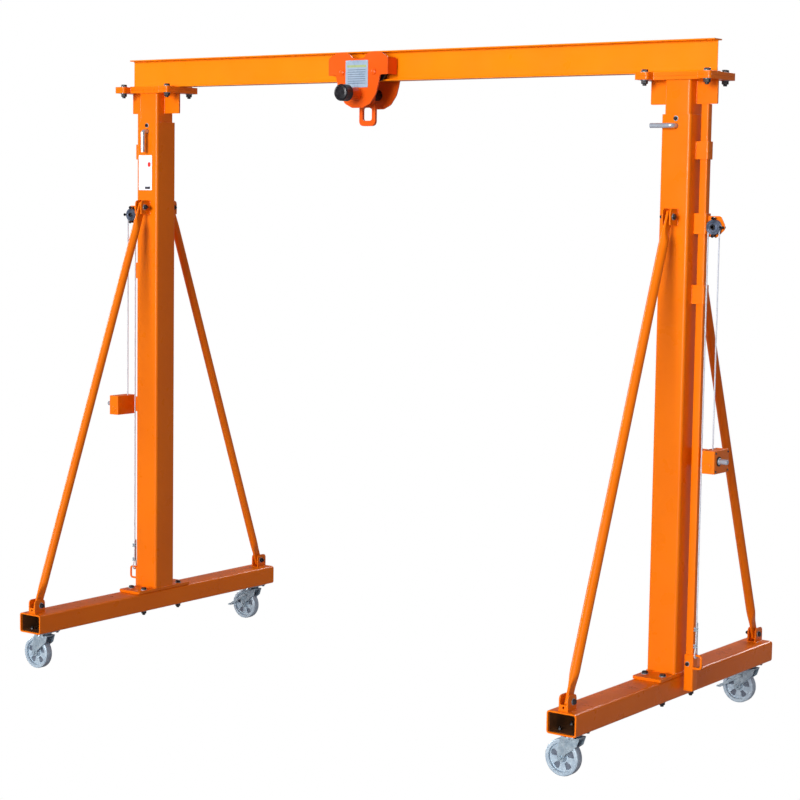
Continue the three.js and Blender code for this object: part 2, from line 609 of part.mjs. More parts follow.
// A brake pedal: two arms outside the fork and a tread behind the wheel.
function pedalGeometry() {
  const { pivotX, pivotZ, arm, plate, tipX, heelX, z } = PEDAL;
  const armOutline = outline([
    [pivotX + 10, pivotZ - 8], [pivotX + 10, pivotZ + 8], [pivotX - 10, pivotZ + 10],
    [heelX, z + 12], [tipX + 20, z + 5], [tipX + 20, z - 5], [heelX, z - 4], [pivotX - 10, pivotZ - 10],
  ]);
  const arms = [-1, 1].map((way) => {
    const [y0, y1] = way < 0 ? [-arm - plate, -arm] : [arm, arm + plate];
    return alongY(armOutline, y0, y1);
  });
  const tread = box(tipX, heelX, -arm - plate, arm + plate, z - 4, z + 4);
  return join(tread, ...arms);
}

// ---------------------------------------------------------------- trolley

function sidePlateGeometry(end) {
  const half = [
    [36, 3163], [84, 3185], [122, 3236], [136, 3283], [148, 3338], [GUARD.x, GUARD.z0], [GUARD.x, GUARD.z1],
    [178, 3450], [150, 3458], [107, 3461], [75, 3458], [54, 3446], [40, 3430], [22, 3425],
  ];
  const otherHalf = half.map(([x, z]) => [-x, z]).reverse();
  const { y, thickness } = SIDE_PLATE;
  const span = (from, to) => (end < 0 ? [-to, -from] : [from, to]);
  const plate = alongY(outline([...half, ...otherHalf]), ...span(y, y + thickness));
  const guards = [-1, 1].map((way) =>
    box(way * (GUARD.x - GUARD.plate), way * GUARD.x, end * GUARD.y, end * (y + 1), GUARD.z0, GUARD.z1));
  const stubs = [-1, 1].map((way) =>
    rod('y', STUB_RADIUS, end * TROLLEY_WHEEL.inner, end * (y + thickness + 10), way * TROLLEY_WHEEL.x, TROLLEY_WHEEL_Z));
  const bore = rod('y', SHAFT.radius + BORE_SLACK, end * (y - 1), end * (y + thickness + 1), 0, TROLLEY_SHAFT_Z);
  return cut(join(plate, ...guards, ...stubs), bore);
}

function trolleyWheelGeometry() {
  const { tread, flange, inner, edge, outer } = TROLLEY_WHEEL;
  const bore = STUB_RADIUS + BORE_SLACK;
  return turned([
    [bore, inner], [tread - 2, inner], [tread, inner + 2], [tread, edge], [flange, edge], [flange, outer],
    [22, outer], [22, SIDE_PLATE.y - GAP], [bore, SIDE_PLATE.y - GAP], [bore, inner],
  ]);
}

// The cross shaft, with its spacers, collars and end caps; it stands further out at the front.
function trolleyShaftGeometry() {
  const { radius, spacer, cap, bailHalf, frontCap, rearCap, capLength } = SHAFT;
  const plateIn = SIDE_PLATE.y - GAP;
  const plateOut = SIDE_PLATE.y + SIDE_PLATE.thickness + GAP;
  const half = (capFrom) => {
    const end = capFrom + capLength;
    return [
      [radius, bailHalf], [spacer, bailHalf], [spacer, plateIn], [radius, plateIn], [radius, plateOut],
      [spacer, plateOut], [spacer, capFrom], [cap, capFrom], [cap, end - 8], [cap - 8, end], [0, end],
    ];
  };
  const front = half(frontCap).map(([r, y]) => [r, -y]).reverse();
  return turned([...front, ...half(rearCap)], 12).translate(0, 0, TROLLEY_SHAFT_Z);
}

// A flat link that hangs from the cross shaft, with a rounded eye for the load.
function bailGeometry() {
  const { width, bottom, hole, holeBottom, holeTop, half, crown } = BAIL;
  const side = width / 2;
  const shape = new THREE.Shape();
  shape.absarc(0, TROLLEY_SHAFT_Z, crown, 0, Math.PI);
  shape.lineTo(-side, holeTop);
  shape.absarc(-side + BAIL_CORNER, bottom + BAIL_CORNER, BAIL_CORNER, Math.PI, 1.5 * Math.PI);
  shape.absarc(side - BAIL_CORNER, bottom + BAIL_CORNER, BAIL_CORNER, 1.5 * Math.PI, 2 * Math.PI);
  shape.lineTo(side, holeTop);
  const plate = alongY(shape, -half, half, 4);
  const eye = alongY(roundedRectangle(hole, holeTop - holeBottom, EYE_CORNER), -half - 1, half + 1, 4)
    .translate(0, 0, (holeBottom + holeTop) / 2);
  const bore = rod('y', SHAFT.radius + BORE_SLACK, -half - 1, half + 1, 0, TROLLEY_SHAFT_Z, 16);
  return cut(plate, eye, bore);
}

function labelPlateGeometry() {
  const face = -SIDE_PLATE.y - SIDE_PLATE.thickness - GAP;
  return box(LABEL.x0, LABEL.x1, face - LABEL.thickness, face, LABEL.z0, LABEL.z1);
}

// ---------------------------------------------------------------- assembly

function addCaster(leg, prefix, y, braked) {
  const caster = addGroup(leg, 0, y, 0);
  addPiece(caster, `${prefix}_caster_plate`, casterPlateGeometry(), zinc);
  addPiece(caster, `${prefix}_caster_fork`, forkGeometry(), zinc);
  const axle = addGroup(caster, WHEEL.trail, 0, WHEEL.radius);
  addPiece(axle, `${prefix}_caster_wheel`, casterWheelGeometry(), wheelGrey);
  addPiece(axle, `${prefix}_caster_axle`, casterAxleGeometry(), zinc);
  if (braked) addPiece(caster, `${prefix}_brake_pedal`, pedalGeometry(), zinc);
}

function addLowerLeg(leg, name, side) {
  addPiece(leg, `${name}_base_beam`, baseBeamGeometry(), orangePaint);
  addPiece(leg, `${name}_post`, postGeometry(side), orangePaint);
  const handle = side > 0 ? [-1, 0, 0] : [0, 0, -1];
  addPiece(leg, `${name}_lock_pin`, lockPinGeometry(handle), chrome);
  for (const { name: endName, end } of ENDS) {
    addPiece(leg, `${name}_${endName}_brace`, braceGeometry(end), orangePaint);
    addCaster(leg, `${name}_${endName}`, end * CASTER_Y, end > 0);
  }
}

function addLiftingGear(leg, name, side) {
  addPiece(leg, `${name}_push_tube`, pushTubeGeometry(side), orangePaint);
  addPiece(leg, `${name}_rope_eye`, ropeEyeGeometry(side), zinc);
  addPiece(leg, `${name}_pulley_bracket`, pulleyBracketGeometry(side), orangePaint);
  const pulley = addGroup(leg, side * PULLEY.u, ROPE_Y, PULLEY.z);
  addPiece(pulley, `${name}_pulley`, pulleyGeometry(), zinc);
  addPiece(leg, `${name}_drum_rope`, drumRopeGeometry(side), ropeWire);
  addPiece(leg, `${name}_lift_rope`, liftRopeGeometry(side), ropeWire);
  addPiece(leg, `${name}_winch_housing`, winchHousingGeometry(side), orangePaint);
  addPiece(leg, `${name}_winch_drum`, winchDrumGeometry(side), darkSteel);
  addPiece(leg, `${name}_winch_shaft`, winchShaftGeometry(side), chrome);
}

function addHead(leg, name) {
  addPiece(leg, `${name}_inner_post`, innerPostGeometry(), orangePaint);
  addPiece(leg, `${name}_sole_plate`, solePlateGeometry(), orangePaint);
}

function addTrolley(crane) {
  const trolley = addGroup(crane, TROLLEY_X, 0, 0);
  for (const { name: endName, end } of ENDS) {
    addPiece(trolley, `trolley_${endName}_plate`, sidePlateGeometry(end), trolleyPaint);
    for (const { name, side } of SIDES) {
      const wheel = trolleyWheelGeometry();
      if (end < 0) wheel.rotateX(Math.PI);
      const axle = addGroup(trolley, side * TROLLEY_WHEEL.x, 0, TROLLEY_WHEEL_Z);
      addPiece(axle, `trolley_${endName}_${name}_wheel`, wheel, darkSteel);
    }
  }
  addPiece(trolley, 'trolley_shaft', trolleyShaftGeometry(), blackRubber);
  addPiece(trolley, 'trolley_bail', bailGeometry(), trolleyPaint);
  addPiece(trolley, 'trolley_label_plate', labelPlateGeometry(), labelWhite);
}

const crane = new THREE.Group();
addPiece(crane, 'i_beam', beamGeometry(), orangePaint);
for (const { name, side } of SIDES) {
  const leg = addGroup(crane, side * LEG_X, 0, 0);
  addLowerLeg(leg, name, side);
  addLiftingGear(leg, name, side);
  addHead(leg, name);
}
addTrolley(crane);

export default crane;
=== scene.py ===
"""Portable gantry crane: the finished looks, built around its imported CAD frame.

Shapes are drawn in millimetres and scaled to metres when a piece is made. Each leg is drawn about its own
post, with u as the distance outboard from the post's centre, and is then mirrored to its side of the frame.
"""
import json
import math

import bmesh
import bpy
from mathutils import Matrix, Vector


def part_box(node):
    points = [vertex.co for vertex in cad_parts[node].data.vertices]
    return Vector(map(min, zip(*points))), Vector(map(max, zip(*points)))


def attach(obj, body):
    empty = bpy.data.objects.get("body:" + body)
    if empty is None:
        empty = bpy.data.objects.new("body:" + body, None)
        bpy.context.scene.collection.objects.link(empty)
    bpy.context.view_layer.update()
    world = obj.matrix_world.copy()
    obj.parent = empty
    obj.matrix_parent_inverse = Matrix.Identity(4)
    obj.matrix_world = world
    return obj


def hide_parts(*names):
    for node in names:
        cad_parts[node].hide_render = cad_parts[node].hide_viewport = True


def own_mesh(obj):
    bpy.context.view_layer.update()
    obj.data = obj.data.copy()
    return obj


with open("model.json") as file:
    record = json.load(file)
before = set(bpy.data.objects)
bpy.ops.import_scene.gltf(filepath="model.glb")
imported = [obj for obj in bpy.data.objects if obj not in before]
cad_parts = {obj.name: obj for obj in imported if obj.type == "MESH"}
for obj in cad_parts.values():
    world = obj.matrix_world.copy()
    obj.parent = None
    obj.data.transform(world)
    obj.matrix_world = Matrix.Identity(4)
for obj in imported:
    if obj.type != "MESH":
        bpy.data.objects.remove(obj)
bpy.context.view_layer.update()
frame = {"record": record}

MM = 0.001
SIDES = (("right", 1), ("left", -1))
ENDS = (("front", -1), ("rear", 1))
UNMOVED = Matrix()

NODE_BODY = {node: body for body, nodes in frame["record"]["behaviour"]["bodies"].items() for node in nodes}
NODE_SLOT = {part["node"]: part["material_slot"] for part in frame["record"]["subparts"]}


def node_box(node):
    """A CAD node's lowest and highest corners, in millimetres."""
    low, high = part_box(node)
    return Vector(low) / MM, Vector(high) / MM


# ---- sizes from the frame

BASE_LOW, BASE_HIGH = node_box("right_base_beam")
BEAM_LOW, BEAM_HIGH = node_box("i_beam")
TROLLEY_LOW, TROLLEY_HIGH = node_box("trolley_front_plate")
LEG_X = (BASE_LOW.x + BASE_HIGH.x) / 2
BASE_LENGTH = BASE_HIGH.y - BASE_LOW.y
BEAM_TOP, BEAM_BOTTOM = BEAM_HIGH.z, BEAM_LOW.z
TROLLEY_X = (TROLLEY_LOW.x + TROLLEY_HIGH.x) / 2

# ---- sizes of the design

GAP = 0.3  # air between two pieces that rest on each other
WALL, BASE_WALL, TUBE_CORNER = 6, 8, 16
BASE_WIDTH, BASE_TOP, BASE_BOTTOM = 160, 332, 222
BASE_MIDDLE = (BASE_TOP + BASE_BOTTOM) / 2
POST, POST_TOP, POST_SCREW_Z = 160, 3106, 3085
INNER, INNER_BOTTOM = 140, 780
FOOT_TOP, FOOT_LENGTH = 348, 450
FOOT_BOLT = (50, 150)
BRACE_RADIUS = 24
BRACE_LOW, BRACE_HIGH = (962, 374), (124, 2609)
BRACE_FLAT = {"thin": 14, "wide": 52, "beyond": 27, "length": 55, "taper": 90}
CLEVIS_HALF, CLEVIS_PLATE = 25, 8
LUG = {"outward": 48, "inward": 30, "above": 34, "back_below": 10, "hole_radius": 6, "hole_rise": 18}
POST_LUG_REACH, POST_LUG_HALF = 30, 40
FLANGE_HALF = 40
PLATE = 18
HEAD_TOP = BEAM_BOTTOM - PLATE
HEAD_UNDER = HEAD_TOP - PLATE
HEAD_BOLT = (170, 95)
WING_BOTTOM = HEAD_UNDER - 116
WING_REACH, WING_HALF = 182, 6
PIN_Z, PIN_RADIUS, HOLE_PITCH, HOLE_COUNT = 3050, 12, 100, 16
PIN_HOLE = PIN_RADIUS + 1.5
PUSH_U, PUSH_Y, PUSH_SIZE, PUSH_BOTTOM = 120, 8, 40, 261
SLEEVE_SIZE, SLEEVE_TOP, SLEEVE_BOLT_Z = 50, 445, 397
EYE_LOW, EYE_HIGH = 378, 444
GUIDE_HEIGHTS = ((2889, 2976), (2186, 2279))
ROPE_Y, ROPE_RADIUS = -10, 4
PULLEY_U, PULLEY_Z, PULLEY_ROPE, PULLEY_RADIUS = 186, 2562, 30, 37
FALL_BOTTOM, FALL_TOP, FALL_U = 620, 2559, PULLEY_U - PULLEY_ROPE
CLIP_HEIGHTS = (490, 575)
DRUM_U, DRUM_Z, DRUM_BARREL = 240, 1402, 20
WORM_Y, WORM_Z = -60, 1429
WINCH_IN, WINCH_OUT, WINCH_FRONT, WINCH_REAR = 206, 275, -106, 46
WINCH_LOW, WINCH_HIGH, WINCH_WALL = 1369, 1482, 5
BACK_PLATE_OUT, BACK_PLATE_INSET, BACK_PLATE_FACE = 260, 12, WINCH_REAR + 8
CASTER_Y, WHEEL_X, WHEEL_RADIUS, WHEEL_WIDTH = 910, -52, 90, 46
CASTER_BOLT = (44, 54)
CROWN_TOP = 199
TROLLEY_WHEEL_U, TROLLEY_WHEEL_Z = 107, BEAM_BOTTOM + 7 + 38.3
PLATE_NEAR, PLATE_FAR = 88, 98
SHAFT_Z, SHAFT_RADIUS, SHAFT_HOLE, COLLAR_RADIUS = 3238, 15, 15.4, 30
FRONT_CAP, REAR_CAP = 190, 130

# ---- mesh kit

X, Y, Z = Vector((1, 0, 0)), Vector((0, 1, 0)), Vector((0, 0, 1))
PLANES = {"x": (Y, Z, X), "y": (X, Z, Y), "z": (X, Y, Z)}


def at(axis, a, b, c):
    """The point (a, b) in the plane across an axis, at c along it."""
    first, second, along = PLANES[axis]
    return first * a + second * b + along * c


def circle(radius, count, centre=(0, 0), start=0.0):
    turn = 2 * math.pi / count
    return [(centre[0] + radius * math.cos(start + i * turn), centre[1] + radius * math.sin(start + i * turn))
            for i in range(count)]


def corners_of(a0, a1, b0, b1):
    """The corners of a rectangle with the given edges."""
    return [(a0, b0), (a1, b0), (a1, b1), (a0, b1)]


def around(a, b, centre=(0, 0)):
    """The corners of a rectangle about a centre, from half its width and half its height."""
    return corners_of(centre[0] - a, centre[0] + a, centre[1] - b, centre[1] + b)


def curve(start, corner, end, steps):
    """Points on the bend from start to end that leans towards a corner."""
    fractions = [k / steps for k in range(steps + 1)]
    return [start * (1 - s) ** 2 + corner * 2 * s * (1 - s) + end * s * s for s in fractions]


def rounded(corners, radius, steps=5):
    """A polygon with each corner turned into a curve. radius is one number or one per corner."""
    radii = radius if isinstance(radius, (list, tuple)) else [radius] * len(corners)
    points = []
    for i, corner in enumerate(corners):
        here = Vector(corner)
        before, after = Vector(corners[i - 1]) - here, Vector(corners[(i + 1) % len(corners)]) - here
        if radii[i] <= 0:
            points.append(tuple(here))
            continue
        half = before.angle(after) / 2
        reach = min(radii[i] / math.tan(half), before.length * 0.49, after.length * 0.49)
        start, end = here + before.normalized() * reach, here + after.normalized() * reach
        points += [tuple(point) for point in curve(start, here, end, steps)]
    return points


def rectangle(width, height, radius, centre=(0, 0), steps=6):
    return rounded(around(width / 2, height / 2, centre), radius, steps)


def square_tube(size, wall, corner, centre=(0, 0), steps=6):
    """The outline and the hole of a square tube."""
    bore = size - 2 * wall
    return rectangle(size, size, corner, centre, steps), rectangle(bore, bore, corner - wall, centre, steps)


def bent(points, bend, plane_point, steps=8):
    """A path through corner points with rounded bends."""
    path = [plane_point(*points[0])]
    for before, here, after in zip(points, points[1:], points[2:]):
        a, corner, b = Vector(before), Vector(here), Vector(after)
        start, end = corner + (a - corner).normalized() * bend, corner + (b - corner).normalized() * bend
        path += [plane_point(*point) for point in curve(start, corner, end, steps)]
    return path + [plane_point(*points[-1])]


def heading_at(path, i):
    """A path's direction at one of its points."""
    return (path[min(i + 1, len(path) - 1)] - path[max(i - 1, 0)]).normalized()


class Shape:
    """Closed shells gathered into one mesh."""

    def __init__(self):
        self.bm = bmesh.new()

    def skin(self, rings, closed=False):
        """Faces between rings of points; the ends are capped, or joined when closed."""
        verts = [[self.bm.verts.new(point) for point in ring] for ring in rings]
        count = len(rings[0])
        following = verts[1:] + verts[:1] if closed else verts[1:]
        for ring, after in zip(verts, following):
            for j in range(count):
                k = (j + 1) % count
                self.bm.faces.new((ring[j], ring[k], after[k], after[j]))
        if not closed:
            self.bm.faces.new(verts[0])
            self.bm.faces.new(verts[-1])

    def prism(self, axis, outline, start, stop, hole=()):
        """An outline drawn out along an axis; a hole has as many points as the outline."""
        rings = [[at(axis, a, b, place) for a, b in outline] for place in (start, stop)]
        if hole:
            rings += [[at(axis, a, b, place) for a, b in hole] for place in (stop, start)]
        self.skin(rings, closed=bool(hole))

    def rod(self, axis, radius, start, stop, centre, count=28):
        self.prism(axis, circle(radius, count, centre), start, stop)

    def lathe(self, axis, profile, centre=(0, 0), count=48, closed=False):
        """A body of revolution from (radius, place along the axis) pairs."""
        self.skin([[at(axis, a, b, along) for a, b in circle(radius, count, centre)]
                   for radius, along in profile], closed)

    def hexagon(self, axis, radius, start, stop, centre):
        """A bolt head or nut between two places along an axis, chamfered at its outer end, stop."""
        chamfer = math.copysign(min(2.0, abs(stop - start) / 3), stop - start)
        turn = math.pi / 7
        rings = [(radius, start), (radius, stop - chamfer), (radius * 0.88, stop)]
        self.skin([[at(axis, a, b, c) for a, b in circle(r, 6, centre, turn)] for r, c in rings])

    def sweep(self, path, radius, normal, count=16, swell=None):
        """A round bar along a path in the plane with a normal; swell scales its radius at each point."""
        rings = []
        for i, point in enumerate(path):
            across = normal.cross(heading_at(path, i)).normalized()
            r = radius * (swell[i] if swell else 1)
            rings.append([point + across * a + normal * b for a, b in circle(r, count)])
        self.skin(rings)

    def weld(self, corners, normal, radius=3.0, closed=True):
        """A rippled bead along the straight stretches between corners."""
        points = [Vector(corner) for corner in corners]
        for start, end in zip(points, points[1:] + points[:1] if closed else points[1:]):
            steps = max(int((end - start).length / 3.2), 2)
            path = [start.lerp(end, i / steps) for i in range(steps + 1)]
            swell = [1.08 if i % 2 else 0.86 for i in range(steps + 1)]
            self.sweep(path, radius, normal, 8, swell)


def mirror(side):
    """From leg coordinates, with u along X, to the row's frame, in millimetres."""
    return Matrix.Translation((side * LEG_X, 0, 0)) @ Matrix.Diagonal((side, 1, 1, 1))


def object_from(name, shape):
    bmesh.ops.recalc_face_normals(shape.bm, faces=shape.bm.faces)
    mesh = bpy.data.meshes.new(name)
    shape.bm.to_mesh(mesh)
    shape.bm.free()
    obj = bpy.data.objects.new(name, mesh)
    bpy.context.scene.collection.objects.link(obj)
    return obj


def applied(obj):
    """Turns the object's modifiers into plain mesh."""
    graph = bpy.context.evaluated_depsgraph_get()
    mesh = bpy.data.meshes.new_from_object(obj.evaluated_get(graph))
    obj.modifiers.clear()
    obj.data = mesh


def cut(obj, tool):
    """Takes a tool shape away from an object that is still in millimetres."""
    cutter = object_from(obj.name + "_cutter", tool)
    carve = obj.modifiers.new("Cut", "BOOLEAN")
    carve.operation, carve.solver, carve.object = "DIFFERENCE", "EXACT", cutter
    applied(obj)
    bpy.data.objects.remove(cutter)


def join_in(obj, shape):
    """Adds a shape's shells to an object that is still in millimetres."""
    bmesh.ops.recalc_face_normals(shape.bm, faces=shape.bm.faces)
    shape.bm.from_mesh(obj.data)
    shape.bm.to_mesh(obj.data)
    shape.bm.free()


def soften(obj, bevel):
    """Rounds sharp edges by a bevel in millimetres, or only marks them sharp when it is 0."""
    sharp = math.radians(31)
    if not bevel:
        obj.data.set_sharp_from_angle(angle=sharp)
        return
    edges = obj.modifiers.new("Edges", "BEVEL")
    edges.width, edges.segments = bevel * MM, 2
    edges.limit_method, edges.angle_limit = "ANGLE", sharp
    edges.harden_normals = True
    applied(obj)


def piece(name, shape, material, body, slot, place, bevel=1.2, drilled=(), replaces=()):
    """Makes one visible piece: put in its place, scaled to metres, edges softened, riding on its body.

    drilled is a plain solid and the holes through it, as two shapes, that belong to the same piece."""
    for part in (shape, *drilled):
        part.bm.transform(place)
    if drilled:
        solid, holes = drilled
        obj = object_from(name, solid)
        cut(obj, holes)
        join_in(obj, shape)
    else:
        obj = object_from(name, shape)
    obj.data.transform(Matrix.Scale(MM, 4))
    obj.data.materials.clear()
    obj.data.materials.append(material)
    obj.data.polygons.foreach_set("use_smooth", [True] * len(obj.data.polygons))
    soften(obj, bevel)
    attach(obj, body)
    if replaces:
        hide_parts(*replaces)
    return obj


def node_piece(node, shape, material, place, bevel=1.2, drilled=()):
    """A piece that stands for one CAD node."""
    body, slot = NODE_BODY[node], NODE_SLOT[node]
    return piece("fine_" + node, shape, material, body, slot, place, bevel, drilled, (node,))


# ---- materials


class Nodes:
    """Short calls for building one material's node tree."""

    def __init__(self, name):
        self.material = bpy.data.materials.new(name)
        self.material.use_nodes = True
        self.tree = self.material.node_tree
        self.shader = self.tree.nodes["Principled BSDF"]
        self.place = self.new("TexCoord").outputs["Object"]

    def new(self, kind):
        return self.tree.nodes.new("ShaderNode" + kind)

    def feed(self, target, source):
        """Joins a socket to an input, or sets the input to a plain value."""
        if isinstance(source, bpy.types.NodeSocket):
            self.tree.links.new(source, target)
        else:
            target.default_value = source

    def noise(self, scale, detail):
        texture = self.new("TexNoise")
        texture.inputs["Scale"].default_value = scale
        texture.inputs["Detail"].default_value = detail
        self.feed(texture.inputs["Vector"], self.place)
        return texture.outputs["Fac"]

    def ramp(self, value, *stops):
        """Maps a value between two (place, colour or grey) stops."""
        ramp = self.new("ValToRGB")
        for element, (place, colour) in zip(ramp.color_ramp.elements, stops):
            element.position = place
            element.color = (*colour, 1) if isinstance(colour, tuple) else (colour, colour, colour, 1)
        self.feed(ramp.inputs["Fac"], value)
        return ramp.outputs["Color"]

    def blotches(self, scale, detail, low, high):
        """Noise through a ramp."""
        return self.ramp(self.noise(scale, detail), low, high)

    def mix(self, factor, first, second):
        """Blends two colours, each a socket or a tuple."""
        mix = self.new("Mix")
        mix.data_type = "RGBA"
        for target, source in (("Factor", factor), ("A", first), ("B", second)):
            self.feed(mix.inputs[target], source)
        return mix.outputs["Result"]

    def math(self, operation, first, second):
        node = self.new("Math")
        node.operation = operation
        self.feed(node.inputs[0], first)
        self.feed(node.inputs[1], second)
        return node.outputs["Value"]

    def edges(self, radius):
        """About 1 on sharp edges and 0 on flats."""
        soft = self.new("Bevel")
        soft.samples = 4
        soft.inputs["Radius"].default_value = radius
        dot = self.new("VectorMath")
        dot.operation = "DOT_PRODUCT"
        self.feed(dot.inputs[0], soft.outputs["Normal"])
        self.feed(dot.inputs[1], self.new("NewGeometry").outputs["Normal"])
        return self.math("SUBTRACT", 1.0, dot.outputs["Value"])

    def bump(self, height, strength, distance):
        bump = self.new("Bump")
        bump.inputs["Strength"].default_value = strength
        bump.inputs["Distance"].default_value = distance
        self.feed(bump.inputs["Height"], height)
        self.feed(self.shader.inputs["Normal"], bump.outputs["Normal"])

    def finish(self, **values):
        """Feeds the shader's inputs, named with underscores for spaces, and returns the material."""
        for name, value in values.items():
            self.feed(self.shader.inputs[name.replace("_", " ")], value)
        return self.material


def paint(name, colour, shade, roughness):
    """Powder coat: orange peel, slow colour drift, and small rubs along the edges."""
    n = Nodes(name)
    drift = n.blotches(2.3, 3.0, (0.35, shade), (0.65, colour))
    rubs = n.math("MULTIPLY", n.edges(0.004), n.noise(70.0, 5.0))
    rubbed = tuple(channel * 0.84 for channel in colour)
    worn = n.mix(n.ramp(rubs, (0.25, 0.0), (0.45, 1.0)), drift, (*rubbed, 1))
    rough = n.blotches(9.0, 4.0, (0.3, roughness - 0.05), (0.7, roughness + 0.07))
    n.bump(n.noise(330.0, 2.0), 0.10, 0.0012)
    return n.finish(Base_Color=worn, Roughness=rough, Specular_IOR_Level=0.16,
                    Coat_Weight=0.1, Coat_Roughness=0.14)


def plated(name, colour, shade, roughness, metallic=0.6):
    """Zinc plate: mottled bright metal with a fine grain."""
    n = Nodes(name)
    mottle = n.blotches(38.0, 5.0, (0.35, shade), (0.65, colour))
    rough = n.blotches(60.0, 4.0, (0.3, roughness - 0.08), (0.7, roughness + 0.1))
    n.bump(n.noise(420.0, 2.0), 0.08, 0.0006)
    return n.finish(Base_Color=mottle, Roughness=rough, Metallic=metallic)


def chrome_finish():
    n = Nodes("chrome")
    smear = n.blotches(30.0, 4.0, (0.4, 0.16), (0.7, 0.3))
    return n.finish(Base_Color=(0.54, 0.60, 0.68, 1), Roughness=smear, Metallic=0.6)


def black_oxide():
    n = Nodes("black_oxide")
    tone = n.blotches(60.0, 4.0, (0.35, (0.003, 0.003, 0.005)), (0.7, (0.011, 0.012, 0.017)))
    rough = n.blotches(90.0, 4.0, (0.3, 0.28), (0.7, 0.5))
    n.bump(n.noise(500.0, 2.0), 0.15, 0.0005)
    return n.finish(Base_Color=tone, Roughness=rough, Metallic=0.15)


def bore_shade_steel():
    """Dark rolled steel with blotches of scale, used as painted shade: the liner inside the base tube is this
    dark to stand in for the shade deep in the tube.
    """
    n = Nodes("bore_shade_steel")
    scale = n.blotches(18.0, 5.0, (0.35, (0.09, 0.034, 0.008)), (0.7, (0.20, 0.072, 0.014)))
    return n.finish(Base_Color=scale, Roughness=0.75)


def galvanised_wire():
    n = Nodes("galvanised_wire")
    tone = n.blotches(240.0, 4.0, (0.3, (0.50, 0.54, 0.60)), (0.7, (0.80, 0.84, 0.90)))
    return n.finish(Base_Color=tone, Roughness=0.4, Metallic=0.3)


def printed(name, colour, shade):
    """Glossy printed film."""
    n = Nodes(name)
    tone = n.blotches(14.0, 3.0, (0.3, shade), (0.7, colour))
    rough = n.blotches(50.0, 3.0, (0.3, 0.22), (0.7, 0.38))
    return n.finish(Base_Color=tone, Roughness=rough)


ORANGE = paint("orange_powder_coat", (0.88, 0.182, 0.0005), (0.84, 0.164, 0.0005), 0.30)
BEAM_ORANGE = paint("beam_powder_coat", (0.94, 0.245, 0.001), (0.92, 0.225, 0.001), 0.32)
TROLLEY_ORANGE = paint("trolley_paint", (0.80, 0.100, 0.004), (0.76, 0.088, 0.003), 0.36)
ZINC = plated("zinc_plate", (0.44, 0.54, 0.60), (0.28, 0.37, 0.44), 0.32, 0.45)
BLUED_ZINC = plated("blued_zinc", (0.16, 0.20, 0.28), (0.06, 0.08, 0.12), 0.30)
WHEEL_GREY = plated("wheel_grey", (0.50, 0.61, 0.69), (0.38, 0.48, 0.57), 0.36, 0.25)
# Painted shade: a dark copy of the wheel's blue-grey for the floors of its pockets, standing in for the shade
# in them.
WHEEL_SHADE = plated("wheel_pocket_painted_shade", (0.16, 0.19, 0.24), (0.11, 0.13, 0.17), 0.5, 0.25)
CHROME = chrome_finish()
BLACK = black_oxide()
BORE_SHADE_STEEL = bore_shade_steel()
WIRE = galvanised_wire()
LABEL_WHITE = printed("label_white", (0.86, 0.88, 0.92), (0.80, 0.82, 0.88))
LABEL_BLUE = printed("label_blue_white", (0.36, 0.46, 0.56), (0.28, 0.38, 0.50))
LABEL_GREEN = printed("label_green", (0.40, 0.47, 0.22), (0.34, 0.42, 0.20))
LABEL_GREY = printed("label_grey", (0.17, 0.22, 0.29), (0.13, 0.18, 0.25))
LABEL_RED = printed("label_red", (0.80, 0.04, 0.03), (0.70, 0.03, 0.02))
LABEL_DARK = printed("label_dark", (0.05, 0.05, 0.06), (0.03, 0.03, 0.04))

# ---- fasteners


class Fasteners:
    """The bolts of one body, and their washers, gathered into two pieces."""

    def __init__(self, body, name):
        self.body, self.name = body, name
        self.bolts, self.washers = Shape(), Shape()

    def add(self, axis, size, centre, head, nut):
        """A bolt through two faces; head and nut are the places of the faces that they clamp."""
        way = math.copysign(1, head - nut)
        washer, shank = 0.15 * size, 0.5 * size
        for face, out, height in ((head, way, 0.62 * size), (nut, -way, 0.8 * size)):
            self.washers.rod(axis, 1.02 * size, face, face + out * washer, centre)
            self.bolts.hexagon(axis, 0.86 * size, face + out * washer, face + out * (washer + height), centre)
        tail = nut - way * (washer + 1.25 * size)
        self.bolts.lathe(axis, [(0.42 * size, tail), (shank, tail + way * 1.5), (shank, head)], centre, 20)

    def finish(self, side):
        place = mirror(side)
        piece(f"{self.name}_bolts", self.bolts, BLACK, self.body, "black_steel", place, 0.5)
        piece(f"{self.name}_washers", self.washers, ZINC, self.body, "zinc", place, 0.5)


def make_leg_fasteners(name, side):
    fasteners = Fasteners(f"{name}_leg", f"{name}_leg")
    half = POST / 2
    for centre in around(*FOOT_BOLT):
        fasteners.add("z", 18, centre, FOOT_TOP, BASE_BOTTOM)
    for end in (-1, 1):
        for y, z in (BRACE_LOW, BRACE_HIGH):
            fasteners.add("x", 16, (end * y, z), CLEVIS_HALF, -CLEVIS_HALF)
        fasteners.bolts.hexagon("y", 10, end * half, end * (half + 11), (0, POST_SCREW_Z))
        fasteners.washers.rod("y", 13, end * half, end * (half + 2), (0, POST_SCREW_Z))
    fasteners.finish(side)


def make_head_fasteners(name, side):
    fasteners = Fasteners("lift_frame", f"{name}_head")
    for centre in around(*HEAD_BOLT):
        fasteners.add("z", 20, centre, BEAM_BOTTOM, HEAD_UNDER)
    half = SLEEVE_SIZE / 2
    fasteners.add("y", 12, (PUSH_U - 6, SLEEVE_BOLT_Z), PUSH_Y - half, PUSH_Y + half)
    fasteners.finish(side)


# ---- beam and heads


